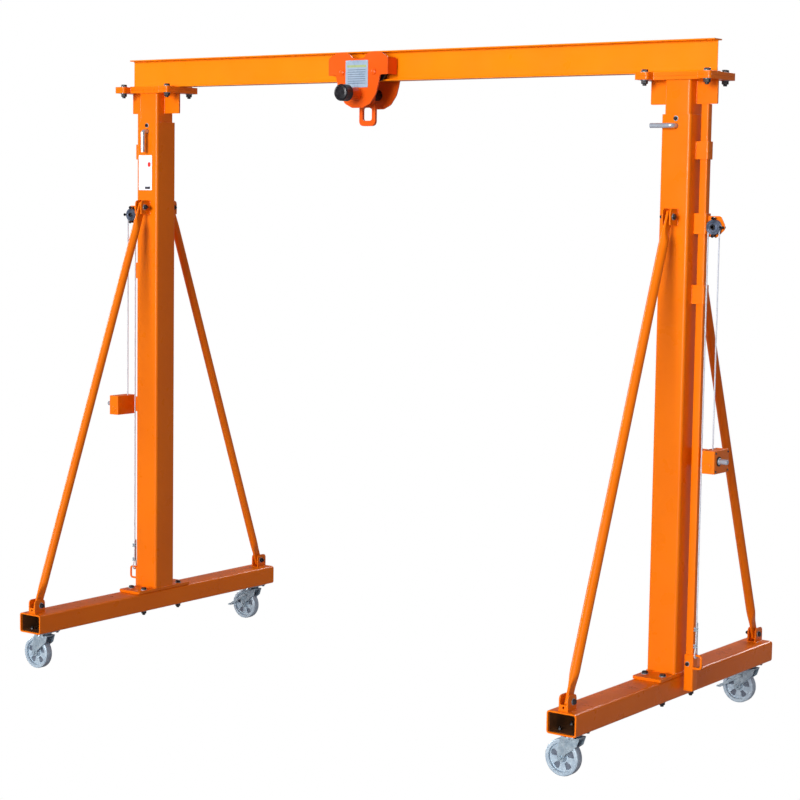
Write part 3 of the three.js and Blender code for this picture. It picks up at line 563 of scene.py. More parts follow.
def make_beam():
    half, web, flange, root, edge = FLANGE_HALF, 2.5, 7, 9, 3
    low, high = BEAM_BOTTOM + flange, BEAM_TOP - flange
    corners = [(-half, BEAM_BOTTOM), (half, BEAM_BOTTOM), (half, low), (web, low), (web, high), (half, high),
               (half, BEAM_TOP), (-half, BEAM_TOP), (-half, high), (-web, high), (-web, low), (-half, low)]
    radii = [0, 0, edge, root, root, edge, 0, 0, edge, root, root, edge]
    shape = Shape()
    shape.prism("x", rounded(corners, radii), BEAM_LOW.x, BEAM_HIGH.x)
    node_piece("i_beam", shape, BEAM_ORANGE, UNMOVED, 1.0)


def head_outline():
    """The H-shaped plate: an arm for each pair of bolts, joined by a narrower core."""
    arm, core, end = 37, 80, 135
    near, far = HEAD_BOLT[0] - arm, HEAD_BOLT[0] + arm
    corners = [(far, -end), (far, end), (near, end), (near, core), (-near, core), (-near, end),
               (-far, end), (-far, -end), (-near, -end), (-near, -core), (near, -core), (near, -end)]
    return rounded(corners, [14, 14, 14, 6, 6, 14] * 2)


def make_head(name, side):
    """Inner post with its head plate, wings and pin holes."""
    tube, pins, head = Shape(), Shape(), Shape()
    half = INNER / 2
    outside, inside = square_tube(INNER, WALL, TUBE_CORNER)
    tube.prism("z", outside, INNER_BOTTOM, HEAD_UNDER, inside)
    for i in range(HOLE_COUNT):
        pins.rod("y", PIN_HOLE, -half - WALL, -half + 2 * WALL, (0, PIN_Z - i * HOLE_PITCH))
    head.prism("z", head_outline(), HEAD_UNDER, HEAD_TOP)
    for way in (-1, 1):
        wing = corners_of(way * half, way * WING_REACH, WING_BOTTOM, HEAD_UNDER)
        head.prism("y", rounded(wing, [0, 6, 0, 0]), -WING_HALF, WING_HALF)
        for y in (WING_HALF, -WING_HALF):
            head.weld([(way * (half + 1), y, z) for z in (WING_BOTTOM, HEAD_UNDER)], Y, 2.6, False)
    head.weld([(x, y, HEAD_UNDER) for x, y in around(half, half)], Z, 3.5)
    node_piece(f"{name}_inner_post", head, ORANGE, mirror(side), 1.2, (tube, pins))


def make_sole_plate(name, side):
    shape = Shape()
    shape.prism("z", head_outline(), HEAD_TOP + GAP, BEAM_BOTTOM - 0.1)
    for y in (-FLANGE_HALF, FLANGE_HALF):
        shape.weld([(x, y, BEAM_BOTTOM) for x in (-150, 150)], Z, 3.2, False)
    node_piece(f"{name}_sole_plate", shape, ORANGE, mirror(side), 1.6)


# ---- lower leg


def clevis(cheeks, backs, back, open_end, z0, z1, back_top=None):
    """A channel across X: its back plate, set in a little, and two cheeks with rounded free corners."""
    way, inset = math.copysign(1, open_end - back), 0.5
    half, thick = CLEVIS_HALF, CLEVIS_PLATE
    plate = corners_of(-half + inset, half - inset, back + way * inset, back + way * thick)
    backs.prism("z", plate, z0, back_top or z1)
    outline = rounded(corners_of(back, open_end, z0, z1), [0, 0, 24, 24], 6)
    for x0 in (-half, half - thick):
        cheeks.prism("x", outline, x0, x0 + thick)


def base_section(inset, radius):
    """The base tube's outline, drawn in by an inset all round."""
    height = BASE_TOP - BASE_BOTTOM
    return rectangle(BASE_WIDTH - 2 * inset, height - 2 * inset, radius, (0, BASE_MIDDLE))


def make_base(name, side):
    """Base beam: a tube with open ends, and a lug for a brace near each end."""
    shape, backs, drill, bore = Shape(), Shape(), Shape(), Shape()
    end_y, inner_corner = BASE_LENGTH / 2, TUBE_CORNER - BASE_WALL
    shape.prism("y", base_section(0, TUBE_CORNER), -end_y, end_y, base_section(BASE_WALL, inner_corner))
    for end in (-1, 1):
        y, z = end * BRACE_LOW[0], BRACE_LOW[1]
        out, back = y + end * LUG["outward"], y - end * LUG["inward"]
        clevis(shape, backs, out, back, BASE_TOP, z + LUG["above"], z - LUG["back_below"])
        drill.rod("y", LUG["hole_radius"], out - end * 20, out + end * 20, (0, BASE_TOP + LUG["hole_rise"]))
        edge = CLEVIS_HALF + 2
        shape.weld([(a, b, BASE_TOP) for a, b in corners_of(-edge, edge, out, back)], Z, 3.2)
    node_piece(f"{name}_base_beam", shape, ORANGE, mirror(side), 1.0, (backs, drill))
    # A dark liner just inside the tube's walls: painted shade, standing in for the shade deep inside the
    # tube.
    reach = end_y - 14
    bore.prism("y", base_section(BASE_WALL + 0.1, inner_corner), -reach, reach,
               base_section(BASE_WALL + 0.7, inner_corner))
    piece(f"{name}_base_bore_shade", bore, BORE_SHADE_STEEL, f"{name}_leg", "black_steel", mirror(side), 0)


def guide(shape, u0, z0, z1):
    """A bent strap round the push tube, open towards the post."""
    inside, plate = PUSH_SIZE / 2 + 2, 5
    outer, inner = [], []
    for outline, reach, bend in ((outer, inside + plate, 8), (inner, inside, 3)):
        corners = corners_of(u0, PUSH_U + reach, PUSH_Y - reach, PUSH_Y + reach)
        outline += rounded(corners, [0, bend, bend, 0])
    shape.prism("z", outer + inner[::-1], z0, z1)


def make_post(name, side):
    """Outer post on its foot plate, with lugs for the braces, guides and the winch's back plate."""
    tube, pin_hole, shape = Shape(), Shape(), Shape()
    half = POST / 2
    outside, inside = square_tube(POST, WALL, TUBE_CORNER, steps=8)
    tube.prism("z", outside, FOOT_TOP - 0.5, POST_TOP, inside)
    pin_hole.rod("y", PIN_HOLE, -half - WALL, -half + 2 * WALL, (0, PIN_Z))
    shape.prism("z", rectangle(POST, FOOT_LENGTH, 10), BASE_TOP + GAP, FOOT_TOP)
    shape.weld([(x, y, FOOT_TOP) for x, y in around(half, half)], Z, 4)
    y, z = BRACE_HIGH
    for end in (-1, 1):
        clevis(shape, shape, end * half, end * (y + POST_LUG_REACH), z - POST_LUG_HALF, z + POST_LUG_HALF)
        for x in (-CLEVIS_HALF - 1, CLEVIS_HALF + 1):
            shape.weld([(x, end * half, z + dz) for dz in (-POST_LUG_HALF, POST_LUG_HALF)], Y, 3, False)
    for z0, z1 in GUIDE_HEIGHTS:
        guide(shape, half, z0, z1)
        for y in (PUSH_Y - 27, PUSH_Y + 27):
            shape.weld([(half + 1, y, z) for z in (z0, z1)], X, 2.8, False)
    low, high = WINCH_LOW + BACK_PLATE_INSET, WINCH_HIGH - BACK_PLATE_INSET
    back_plate = rounded(corners_of(half, BACK_PLATE_OUT, low, high), [0, 12, 12, 0])
    shape.prism("y", back_plate, WINCH_REAR, BACK_PLATE_FACE)
    shape.weld([(half + 1, BACK_PLATE_FACE, z) for z in (low, high)], X, 3.2, False)
    node_piece(f"{name}_post", shape, ORANGE, mirror(side), 1.0, (tube, pin_hole))


def flattened(angle_point, flat, shrink):
    """A point of the unit circle pulled towards a brace's flat end; flat runs from 0 to 1."""
    a, b = (math.copysign(abs(value) ** (1 - 0.7 * flat), value) for value in angle_point)
    wide, thin = BRACE_FLAT["wide"] / 2, BRACE_FLAT["thin"] / 2
    across = a * (BRACE_RADIUS + (wide - BRACE_RADIUS) * flat) * shrink
    return across, b * (BRACE_RADIUS + (thin - BRACE_RADIUS) * flat)


def brace_rings(low, high):
    """A round tube from one bolt to the other, whose ends are hammered flat beyond a taper."""
    length, heading = (high - low).length, (high - low).normalized()
    wide = X.cross(heading)

    def ring(distance, flat, shrink):
        middle = low + heading * distance
        outline = [flattened(point, flat, shrink) for point in circle(1, 32, start=math.pi / 32)]
        return [middle + wide * across + X * through for across, through in outline]

    tip = ((0, 0.62), (3, 0.82), (9, 0.97), (14, 1.0))
    foot = [(distance - BRACE_FLAT["beyond"], 1.0, shrink) for distance, shrink in tip]
    for s in (0, 0.15, 0.3, 0.45, 0.6, 0.75, 0.9, 1):
        foot.append((BRACE_FLAT["length"] + BRACE_FLAT["taper"] * s, 0.5 + 0.5 * math.cos(math.pi * s), 1.0))
    head = [(length - distance, flat, shrink) for distance, flat, shrink in reversed(foot)]
    return [ring(*row) for row in foot + head]


def make_braces(name, side):
    for end_name, end in ENDS:
        shape = Shape()
        shape.skin(brace_rings(*(Vector((0, end * y, z)) for y, z in (BRACE_LOW, BRACE_HIGH))))
        node_piece(f"{name}_{end_name}_brace", shape, ORANGE, mirror(side), 1.0)


def make_lock_pin(name, side):
    """An L-shaped pin; the right one's handle points to the load side and the left one's hangs down."""
    tip, elbow, handle = -75, -115, 120
    if side > 0:
        normal, place = Z, lambda along, y: Vector((along, y, PIN_Z))
    else:
        normal, place = X, lambda along, y: Vector((0, y, PIN_Z + along))
    shape = Shape()
    shape.sweep(bent([(-handle, elbow), (0, elbow), (0, tip)], 16, place), PIN_RADIUS, normal, 28)
    node_piece(f"{name}_lock_pin", shape, CHROME, mirror(side), 1.5)


# ---- lifting gear


def in_rope_plane(u, z):
    return Vector((u, ROPE_Y, z))


def make_push_tube(name, side):
    """The tube from the head down to its sleeve, which carries a bent eye bar for the rope."""
    shape = Shape()
    centre, bore = (PUSH_U, PUSH_Y), PUSH_SIZE + 0.4
    outside, inside = square_tube(PUSH_SIZE, 3, 6, centre)
    shape.prism("z", outside, PUSH_BOTTOM, WING_BOTTOM - GAP, inside)
    shape.prism("z", rectangle(SLEEVE_SIZE, SLEEVE_SIZE, 7, centre), PUSH_BOTTOM, SLEEVE_TOP,
                rectangle(bore, bore, 6, centre))
    root = PUSH_U + 24
    eye = [(root, EYE_HIGH), (PULLEY_U, EYE_HIGH), (PULLEY_U, EYE_LOW), (root, EYE_LOW)]
    shape.sweep(bent(eye, 16, in_rope_plane), 6, Y, 16)
    node_piece(f"{name}_push_tube", shape, ORANGE, mirror(side), 1.0)


def make_pulley_bracket(name, side):
    """A guide strap on the post with one cheek that holds the pulley, and the cheek's bolts."""
    shape, bolts = Shape(), Shape()
    guide(shape, POST / 2 + GAP, PULLEY_Z - 35, PULLEY_Z + 66)
    root, near, far = PUSH_U + PUSH_SIZE / 2 + 4, 5, 10
    cheek = [(root, -48), (198, -48), (236, -12), (236, 12), (214, 54), (root, 54)]
    shape.prism("y", rounded([(u, PULLEY_Z + dz) for u, dz in cheek], [4, 12, 10, 12, 14, 4]), near, far)
    node_piece(f"{name}_pulley_bracket", shape, ORANGE, mirror(side), 1.0)

    front, axle = ROPE_Y - 19, (PULLEY_U, PULLEY_Z)
    reach = PULLEY_ROPE + ROPE_RADIUS + 9
    back = near + 0.2
    bolts.rod("y", 8, front, back, axle)
    bolts.hexagon("y", 14, front + 7.5, front, axle)
    bolts.hexagon("y", 13, far, far + 10, axle)
    for du, dz in ((0, 1), (0, -1), (1, 0)):
        centre = (PULLEY_U + du * reach, PULLEY_Z + dz * reach)
        bolts.rod("y", 5, front, back, centre)
        bolts.hexagon("y", 9, front + 7, front, centre)
        bolts.hexagon("y", 9, far, far + 7, centre)
    piece(f"{name}_pulley_bolts", bolts, BLACK, f"{name}_leg", "black_steel", mirror(side), 0.5)


def make_pulley(name, side):
    half, rim, groove = 11, PULLEY_RADIUS, PULLEY_ROPE - ROPE_RADIUS - GAP
    angles = [math.radians(d) for d in range(-80, 81, 20)]
    valley = [(groove + ROPE_RADIUS * (1 - math.cos(t)), ROPE_RADIUS * math.sin(t) * 1.1) for t in angles]
    face = [(8.6, half + 2), (14, half + 2), (14, half - 2), (24, half - 2), (26, half), (rim, half),
            (rim, half - 2.5)]
    profile = [(r, -y) for r, y in face] + valley + face[::-1]
    shape = Shape()
    shape.lathe("y", [(r, y + ROPE_Y) for r, y in profile], (PULLEY_U, PULLEY_Z), 56, closed=True)
    node_piece(f"{name}_pulley", shape, BLUED_ZINC, mirror(side), 0.6)


def strands(shape, path, lay=52.0, count=6):
    """Twisted strands round a core along a path of closely spaced points."""
    travelled, frames = [0.0], []
    for before, after in zip(path, path[1:]):
        travelled.append(travelled[-1] + (after - before).length)
    for i, point in enumerate(path):
        heading = heading_at(path, i)
        across = (Y if abs(heading.y) < 0.9 else X).cross(heading).normalized()
        frames.append((point, across, heading.cross(across)))
    strand, ring_radius = ROPE_RADIUS * 0.36, ROPE_RADIUS * 0.63
    for k in range(count):
        rings = []
        for (point, across, up), s in zip(frames, travelled):
            angle = 2 * math.pi * (s / lay + k / count)
            centre = point + (across * math.cos(angle) + up * math.sin(angle)) * ring_radius
            rings.append([centre + across * a + up * b for a, b in circle(strand, 6)])
        shape.skin(rings)


def resampled(points, step):
    """Points at even steps along a path of straight stretches."""
    out, carry = [points[0]], 0.0
    for start, end in zip(points, points[1:]):
        length = (end - start).length
        place = step - carry
        while place < length:
            out.append(start.lerp(end, place / length))
            place += step
        carry = length - (place - step)
    return out + [points[-1]]


def make_ropes(name, side):
    """The rope from the drum over the pulley, and the fall that shortens as the beam goes up."""
    drum_rope, lift_rope = Shape(), Shape()
    over = [in_rope_plane(PULLEY_U + u, PULLEY_Z + z) for u, z in circle(PULLEY_ROPE, 32)[:17]]
    top, step = in_rope_plane(FALL_U, FALL_TOP), 5.2
    strands(drum_rope, resampled([in_rope_plane(PULLEY_U + PULLEY_ROPE, DRUM_Z), *over, top], step))
    strands(lift_rope, resampled([top, in_rope_plane(FALL_U, FALL_BOTTOM)], step))
    node_piece(f"{name}_drum_rope", drum_rope, WIRE, mirror(side), 0)
    fall = node_piece(f"{name}_lift_rope", lift_rope, WIRE, mirror(side), 0)
    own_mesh(fall)


def make_rope_eye(name, side):
    """The rope's end, looped under the eye bar and back up into two clips."""
    low, high = CLIP_HEIGHTS
    loop = circle(13, 24)[12:] + [(13, 0)]
    route = [(0, FALL_BOTTOM), (0, high), (-2, low), (-12, 455), *((a, EYE_HIGH + b) for a, b in loop),
             (13, 455), (9, low), (9, high), (9, 608)]
    shape, clips = Shape(), Shape()
    strands(shape, resampled([Vector((FALL_U, ROPE_Y + y, z)) for y, z in route], 4.0), 44.0)
    node_piece(f"{name}_rope_eye", shape, WIRE, mirror(side), 0)

    saddle = rounded(corners_of(FALL_U - 8, FALL_U + 8, ROPE_Y - 7, ROPE_Y + 1), 3)
    for z in CLIP_HEIGHTS:
        clips.prism("z", saddle, z - 9, z + 9)
        for height in (z - 6, z + 6):
            bow = bent([(-7, 16), (-7, -5), (7, -5), (7, 16)], 6,
                       lambda a, b: Vector((FALL_U + a, ROPE_Y + 4 - b * 0.55, height)))
            clips.sweep(bow, 2.2, Z, 10)
            for a in (-7, 7):
                clips.hexagon("y", 4, ROPE_Y - 7, ROPE_Y - 11, (FALL_U + a, height))
    piece(f"{name}_rope_clips", clips, ZINC, "lift_frame", "zinc", mirror(side), 0.4)


def winch_section(inset, inner_inset):
    """The winch box seen from above, drawn in by an inset, with its own on the side towards the post."""
    return corners_of(WINCH_IN + inner_inset, WINCH_OUT - inset, WINCH_FRONT + inset, WINCH_REAR - inset)


def make_winch_housing(name, side):
    """A box with a slot in its roof for the rope, a bearing boss in front and a bore for the worm."""
    walls, bore, shape = Shape(), Shape(), Shape()
    outside, inside = rounded(winch_section(0, 0), 6), rounded(winch_section(WINCH_WALL, WINCH_WALL), 2)
    walls.prism("z", outside, WINCH_LOW, WINCH_HIGH, inside)
    shape.prism("z", winch_section(1, 1), WINCH_LOW + 1, WINCH_LOW + WINCH_WALL)
    shape.prism("z", winch_section(1, 18), WINCH_HIGH - WINCH_WALL, WINCH_HIGH - 1)
    boss = [(17, WINCH_FRONT + 0.5), (17, WINCH_FRONT - 2), (15, WINCH_FRONT - 3.5)]
    shape.lathe("y", boss, (DRUM_U, DRUM_Z), 40)
    bore.rod("x", 10, WINCH_IN + 20, WINCH_OUT + 1, (WORM_Y, WORM_Z))
    node_piece(f"{name}_winch_housing", shape, ORANGE, mirror(side), 1.4, (walls, bore))


def make_winch_drum(name, side):
    """A barrel grooved for the rope between two flanges, with its bearing ends."""
    wraps, steps, start, width = 8, 8, -44, 68
    grooves = []
    for i in range(wraps * steps + 1):
        depth = 0.8 * (1 - math.cos(2 * math.pi * i / steps))
        grooves.append((DRUM_BARREL - depth, start + width * i / (wraps * steps)))
    profile = [(8, -105), (8, -74), (17.2, -74), (17.2, -50), (27, -50), (27, -46), *grooves,
               (27, 26), (27, 30), (8, 30), (8, 45)]
    shape = Shape()
    shape.lathe("y", profile, (DRUM_U, DRUM_Z), 48)
    node_piece(f"{name}_winch_drum", shape, BLACK, mirror(side), 0.6)


def make_winch_shaft(name, side):
    """The worm, a collar outside the box and the drive end with its chamfer."""
    thread = [(9.5 - 0.6 * (1 - math.cos(math.pi * i / 4)), 220 + i) for i in range(41)]
    worm = [(8, 207), (8, 220), *thread, (9, 260), (9, 277), (13, 277), (13, 321), (11.5, 323.2), (10, 324)]
    collar = [(16.5, 275.3), (16.5, 281), (14.5, 283), (13.2, 283), (13.2, 275.3)]
    shape = Shape()
    shape.lathe("x", worm, (WORM_Y, WORM_Z), 40)
    shape.lathe("x", collar, (WORM_Y, WORM_Z), 40, True)
    node_piece(f"{name}_winch_shaft", shape, CHROME, mirror(side), 0.6)


def make_winch_screws(name, side):
    """Screws through the back plate, and the end cover's four screws and ring."""
    shape = Shape()
    for z in (WINCH_LOW + 26, WINCH_HIGH - 26):
        shape.hexagon("y", 9, BACK_PLATE_FACE, BACK_PLATE_FACE + 7, (221, z))
    for centre in corners_of(WINCH_FRONT + 12, WINCH_REAR - 12, WINCH_LOW + 12, WINCH_HIGH - 12):
        shape.hexagon("x", 5, WINCH_OUT, WINCH_OUT + 5, centre)
    near, far = WINCH_OUT + 0.2, WINCH_OUT + 3
    ring = [(17, near), (24, near), (24, far), (17, far)]
    shape.lathe("x", ring, (WORM_Y, WORM_Z), 40, True)
    piece(f"{name}_winch_screws", shape, BLACK, f"{name}_leg", "black_steel", mirror(side), 0.4)


# ---- casters


def make_caster_plate(node, place):
    """Top plate, the upper race of the swivel bearing, and the kingpin's nut."""
    shape = Shape()
    top = BASE_BOTTOM - GAP
    under = top - 8
    shape.prism("z", rectangle(110, 140, 10), under, top)
    foot = CROWN_TOP + 0.6
    race = [(8, CROWN_TOP - 17), (8, foot), (36, foot), (41, under - 7), (40, under - 2), (30, under)]
    shape.lathe("z", race, count=56)
    shape.hexagon("z", 14, CROWN_TOP - 9, CROWN_TOP - 18, (0, 0))
    node_piece(node, shape, ZINC, place, 0.8)


def make_fork(node, place):
    """A pressed crown with a raised race, and two tapering legs."""
    shape = Shape()
    crown, inside, plate = 50, 27, 5
    under, front, rear = CROWN_TOP - 6, WHEEL_X - 17, WHEEL_X + 17
    shape.prism("z", rectangle(2 * crown, 2 * (inside + plate), 16), under, CROWN_TOP)
    dish = [(38, under), (40, under - 3), (34, under - 7), (16, under - 7), (16, CROWN_TOP), (36, CROWN_TOP)]
    shape.lathe("z", dish, count=56, closed=True)
    leg = rounded([(-crown, CROWN_TOP), (front, WHEEL_RADIUS + 40), (front, WHEEL_RADIUS - 17),
                   (rear, WHEEL_RADIUS - 17), (rear + 5, WHEEL_RADIUS + 16), (crown - 14, CROWN_TOP - 42),
                   (crown, CROWN_TOP)], [2, 20, 17, 17, 24, 14, 2], 6)
    for way in (-1, 1):
        shape.prism("y", leg, way * inside, way * (inside + plate))
    node_piece(node, shape, ZINC, place)


def make_caster_wheel(node, place):
    """Rim, hub, and a thin web stiffened by ribs between five rounded pockets."""
    half, radius, centre = WHEEL_WIDTH / 2, WHEEL_RADIUS, (WHEEL_X, WHEEL_RADIUS)
    shape, web, pockets, shaded_pocket_floor = Shape(), Shape(), Shape(), Shape()
    rim = [(69, -half + 3), (71, -half), (radius - 6, -half), (radius - 1.5, -half + 3), (radius, -half + 9)]
    hub = [(6.4, -25), (17, -25), (20, -22), (24, -10)]
    for profile, count in ((rim, 80), (hub, 48)):
        shape.lathe("y", profile + [(r, -y) for r, y in reversed(profile)], centre, count, closed=True)
    web.lathe("y", [(22, -9), (48, -6.5), (70, -9), (70, 9), (48, 6.5), (22, 9)], centre, 80, closed=True)
    for i in range(5):
        angle = 2 * math.pi * i / 5 + math.pi / 2
        a, b = math.cos(angle), math.sin(angle)
        pocket = rounded([(29, -7), (64, -20), (64, 20), (29, 7)], [6, 11, 11, 6], 6)
        turned = [(centre[0] + r * a - t * b, centre[1] + r * b + t * a) for r, t in pocket]
        pockets.prism("y", turned, -12, 12)
    node_piece(node, shape, WHEEL_GREY, place, 1.0, (web, pockets))
    # A dark disc inside the web shows as the pockets' floors: painted shade in the pockets.
    shaded_pocket_floor.lathe("y", [(20, -1.5), (72, -1.5), (72, 1.5), (20, 1.5)], centre, 80, closed=True)
    piece(node + "_shaded_pocket_floor", shaded_pocket_floor, WHEEL_SHADE, NODE_BODY[node], NODE_SLOT[node], place, 0)


def make_caster_axle(node, place):
    shape = Shape()
    centre, washer = (WHEEL_X, WHEEL_RADIUS), 1.6
    shape.rod("y", 6, -40, 44, centre)
    for way in (-1, 1):
        face = way * (32 + GAP)
        shape.rod("y", 11, face, face + way * washer, centre)
        shape.hexagon("y", 10, face + way * washer, face + way * 8.5, centre)
    node_piece(node, shape, ZINC, place, 0.5)


def make_pedal(node, place):
    """Two arms outside the fork and a ribbed tread behind the wheel."""
    shape = Shape()
    arm = rounded([(-20, 142), (-20, 158), (-40, 160), (-147, 90), (-150, 83), (-150, 74), (-147, 74),
                   (-40, 140)], [8, 8, 8, 6, 3, 3, 3, 8])
    arm_near, arm_far, rib_pitch = 35.5, 39.5, 4.8
    for way in (-1, 1):
        shape.prism("y", arm, way * arm_near, way * arm_far)
    tread = rounded([(-170, 74), (-147, 74), (-147, 82), (-163, 82), (-170, 79)], [3, 0, 0, 2, 2])
    shape.prism("y", tread, -arm_far, arm_far)
    for i in range(4):
        x = -167 + rib_pitch * i
        shape.prism("z", corners_of(x, x + 2, -34, 34), 79, 82.8)
    node_piece(node, shape, ZINC, place, 0.8)


def make_caster_fasteners(name, side):
    """Four bolts through each caster's top plate, with their nuts inside the base beam."""
    bolts = Shape()
    inside = BASE_BOTTOM + BASE_WALL
    for end in (-1, 1):
        for centre in around(*CASTER_BOLT, (0, end * CASTER_Y)):
            bolts.hexagon("z", 9, BASE_BOTTOM - 8 - GAP, BASE_BOTTOM - 16, centre)
            bolts.hexagon("z", 10, inside, inside + 10, centre)
            bolts.rod("z", 5, inside, inside + 18, centre)
    place = Matrix.Translation((side * LEG_X, 0, 0))
    piece(f"{name}_caster_bolts", bolts, BLACK, f"{name}_leg", "black_steel", place, 0.5)


def make_casters(name, side):
    for end_name, end in ENDS:
        place = Matrix.Translation((side * LEG_X, end * CASTER_Y, 0))
        node = f"{name}_{end_name}_caster_"
        make_caster_plate(node + "plate", place)
        make_fork(node + "fork", place)
        make_caster_wheel(node + "wheel", place)
        make_caster_axle(node + "axle", place)
        if end > 0:
            make_pedal(f"{name}_{end_name}_brake_pedal", place)
    make_caster_fasteners(name, side)


# ---- trolley

TROLLEY = Matrix.Translation((TROLLEY_X, 0, 0))


def trolley_outline():
    """A side plate, from its low middle out to the wheel guards and back over the dipped top."""
    half = [(36, 3163), (84, 3185), (122, 3236), (136, 3283), (148, 3338), (199, 3339), (199, 3430),
            (150, 3458), (107, 3461), (75, 3458), (54, 3446), (40, 3430), (0, 3425)]
    radii = [10, 40, 60, 60, 10, 4, 18, 30, 60, 30, 18, 20, 0]
    other = [(-x, z) for x, z in half[:-1]][::-1]
    return rounded(half + other, radii + radii[:-1][::-1], 6)


def make_side_plate(end_name, end):
    plate, bore, shape = Shape(), Shape(), Shape()
    plate.prism("y", trolley_outline(), end * PLATE_NEAR, end * PLATE_FAR)
    guard = [(end * 14, 3339), (end * 14, 3430), (end * 89, 3430), (end * 89, 3339)]
    stub = [(10, 13), (10, PLATE_FAR), (16, PLATE_FAR), (16, PLATE_FAR + 5), (9, PLATE_FAR + 9)]
    for way in (-1, 1):
        shape.prism("x", rounded(guard, [14, 14, 0, 0]), way * 191, way * 199)
        shape.lathe("y", [(r, end * y) for r, y in stub], (way * TROLLEY_WHEEL_U, TROLLEY_WHEEL_Z), 32)
    bore.rod("y", SHAFT_HOLE, end * 80, end * 110, (0, SHAFT_Z))
    node_piece(f"trolley_{end_name}_plate", shape, TROLLEY_ORANGE, TROLLEY, 1.5, (plate, bore))


def make_trolley_wheel(end_name, end, side_name, side):
    profile = [(10.4, 13), (34, 13), (36, 14.5), (38, 17), (38, 41), (46, 41), (46, 50.5), (43, 52.5),
               (24, 52.5), (22, 56), (22, 87.7), (10.4, 87.7)]
    centre = (side * TROLLEY_WHEEL_U, TROLLEY_WHEEL_Z)
    shape = Shape()
    shape.lathe("y", [(r, end * y) for r, y in profile], centre, 56, closed=True)
    node_piece(f"trolley_{end_name}_{side_name}_wheel", shape, BLACK, TROLLEY, 0.8)


def knurled_cap(shape, end, start):
    """A round end cap that stands out from start, with grip lobes round its middle."""
    lobes, lobe_depth = 18, 1.6
    count = 4 * lobes
    rings = []
    for radius, out, grip in ((41, 0, 0), (45, 4, 0), (45, 7, 1), (45, 50, 1), (45, 53, 0), (41, 60, 0),
                              (31, 63.5, 0), (29, 59, 0)):
        ring = []
        for i in range(count):
            angle = 2 * math.pi * i / count
            r = radius - grip * lobe_depth * (0.5 - 0.5 * math.cos(lobes * angle))
            ring.append(at("y", r * math.cos(angle), SHAFT_Z + r * math.sin(angle), end * (start + out)))
        rings.append(ring)
    shape.skin(rings)


def make_trolley_shaft():
    """Cross shaft with black spacers inside, orange collars outside and knurled black end caps."""
    rod, collars, caps = Shape(), Shape(), Shape()
    centre, bore = (0, SHAFT_Z), SHAFT_RADIUS + 0.2
    inner, outer = PLATE_NEAR - GAP, PLATE_FAR + GAP
    spacer = [(COLLAR_RADIUS, 10), (COLLAR_RADIUS, inner), (SHAFT_RADIUS, inner), (SHAFT_RADIUS, 10)]
    for end, cap in ((-1, FRONT_CAP), (1, REAR_CAP)):
        rod.lathe("y", [(r, end * y) for r, y in spacer], centre, 48, True)
        collar = [(bore, outer), (COLLAR_RADIUS, outer), (COLLAR_RADIUS, cap - 3), (COLLAR_RADIUS - 3, cap),
                  (bore, cap)]
        collars.lathe("y", [(r, end * y) for r, y in collar], centre, 48, True)
        knurled_cap(caps, end, cap)
    rod.rod("y", SHAFT_RADIUS, -FRONT_CAP - 2, REAR_CAP + 2, centre, 40)
    node_piece("trolley_shaft", rod, BLACK, TROLLEY, 0.8)
    piece("trolley_shaft_collars", collars, TROLLEY_ORANGE, "trolley", "trolley_paint", TROLLEY, 1.0)
    piece("trolley_shaft_caps", caps, BLACK, "trolley", "black_steel", TROLLEY, 0.6)


def make_bail():
    """The flat link under the trolley, with a rounded eye."""
    link, holes = Shape(), Shape()
    crown = circle(44, 28, (0, SHAFT_Z))[:15]
    lower = rounded([(-46, 3190), (-54, 3168), (-54, 3069), (54, 3069), (54, 3168), (46, 3190)],
                    [10, 20, 30, 30, 20, 10], 8)
    link.prism("y", crown + lower, -9, 9)
    holes.prism("y", rectangle(62, 70, 15, (0, 3133), 8), -20, 20)
    holes.rod("y", SHAFT_HOLE, -20, 20, (0, SHAFT_Z), 40)
    node_piece("trolley_bail", Shape(), TROLLEY_ORANGE, TROLLEY, 4.0, (link, holes))


def make_trolley_label():
    """A riveted plate with a stripe and blank rows in place of print."""
    plate, stripe, rows, rivets = Shape(), Shape(), Shape(), Shape()
    face, middle, first_row, row_pitch = -PLATE_FAR - GAP, -6, 3366, 12
    plate.prism("y", rectangle(150, 145, 5, (middle, 3344.5)), face - 1.6, face)
    stripe.prism("y", rectangle(128, 13, 1, (middle, 3385)), face - 1.9, face - 1.5)
    for i in range(7):
        rows.prism("y", rectangle(118, 4, 1, (middle, first_row - row_pitch * i)), face - 1.9, face - 1.5)
    for x, z in corners_of(middle - 68, middle + 68, 3279, 3410):
        rivets.lathe("y", [(3.2, face - 1.5), (3.0, face - 2.2), (1.6, face - 2.9)], (x, z), 16)
    node_piece("trolley_label_plate", plate, LABEL_BLUE, TROLLEY, 0.3)
    piece("trolley_label_stripe", stripe, LABEL_GREEN, "trolley", "label_plastic", TROLLEY, 0)
    piece("trolley_label_rows", rows, LABEL_GREY, "trolley", "label_plastic", TROLLEY, 0)
    piece("trolley_label_rivets", rivets, ZINC, "trolley", "zinc", TROLLEY, 0)


def make_trolley():
    for end_name, end in ENDS:
        make_side_plate(end_name, end)
        for side_name, side in SIDES:
            make_trolley_wheel(end_name, end, side_name, side)
    make_trolley_shaft()
    make_bail()
    make_trolley_label()


def make_leg_label():
    """A blank white film on the left post, with one red and one dark block of colour."""
    face = -POST / 2
    for part, material, size, radius, centre, back, front in (
            ("film", LABEL_WHITE, (104, 204), 4, (-1752, 2810), 0.05, 0.6),
            ("red_mark", LABEL_RED, (22, 26), 8, (-1722, 2858), 0.5, 0.9),
            ("dark_mark", LABEL_DARK, (40, 14), 2, (-1734, 2722), 0.5, 0.9)):
        shape = Shape()
        outline = rectangle(*size, radius, (-centre[0] - LEG_X, centre[1]))
        shape.prism("y", outline, face - front, face - back)
        piece(f"left_post_label_{part}", shape, material, "left_leg", "label_plastic", mirror(-1), 0)


# ---- studio


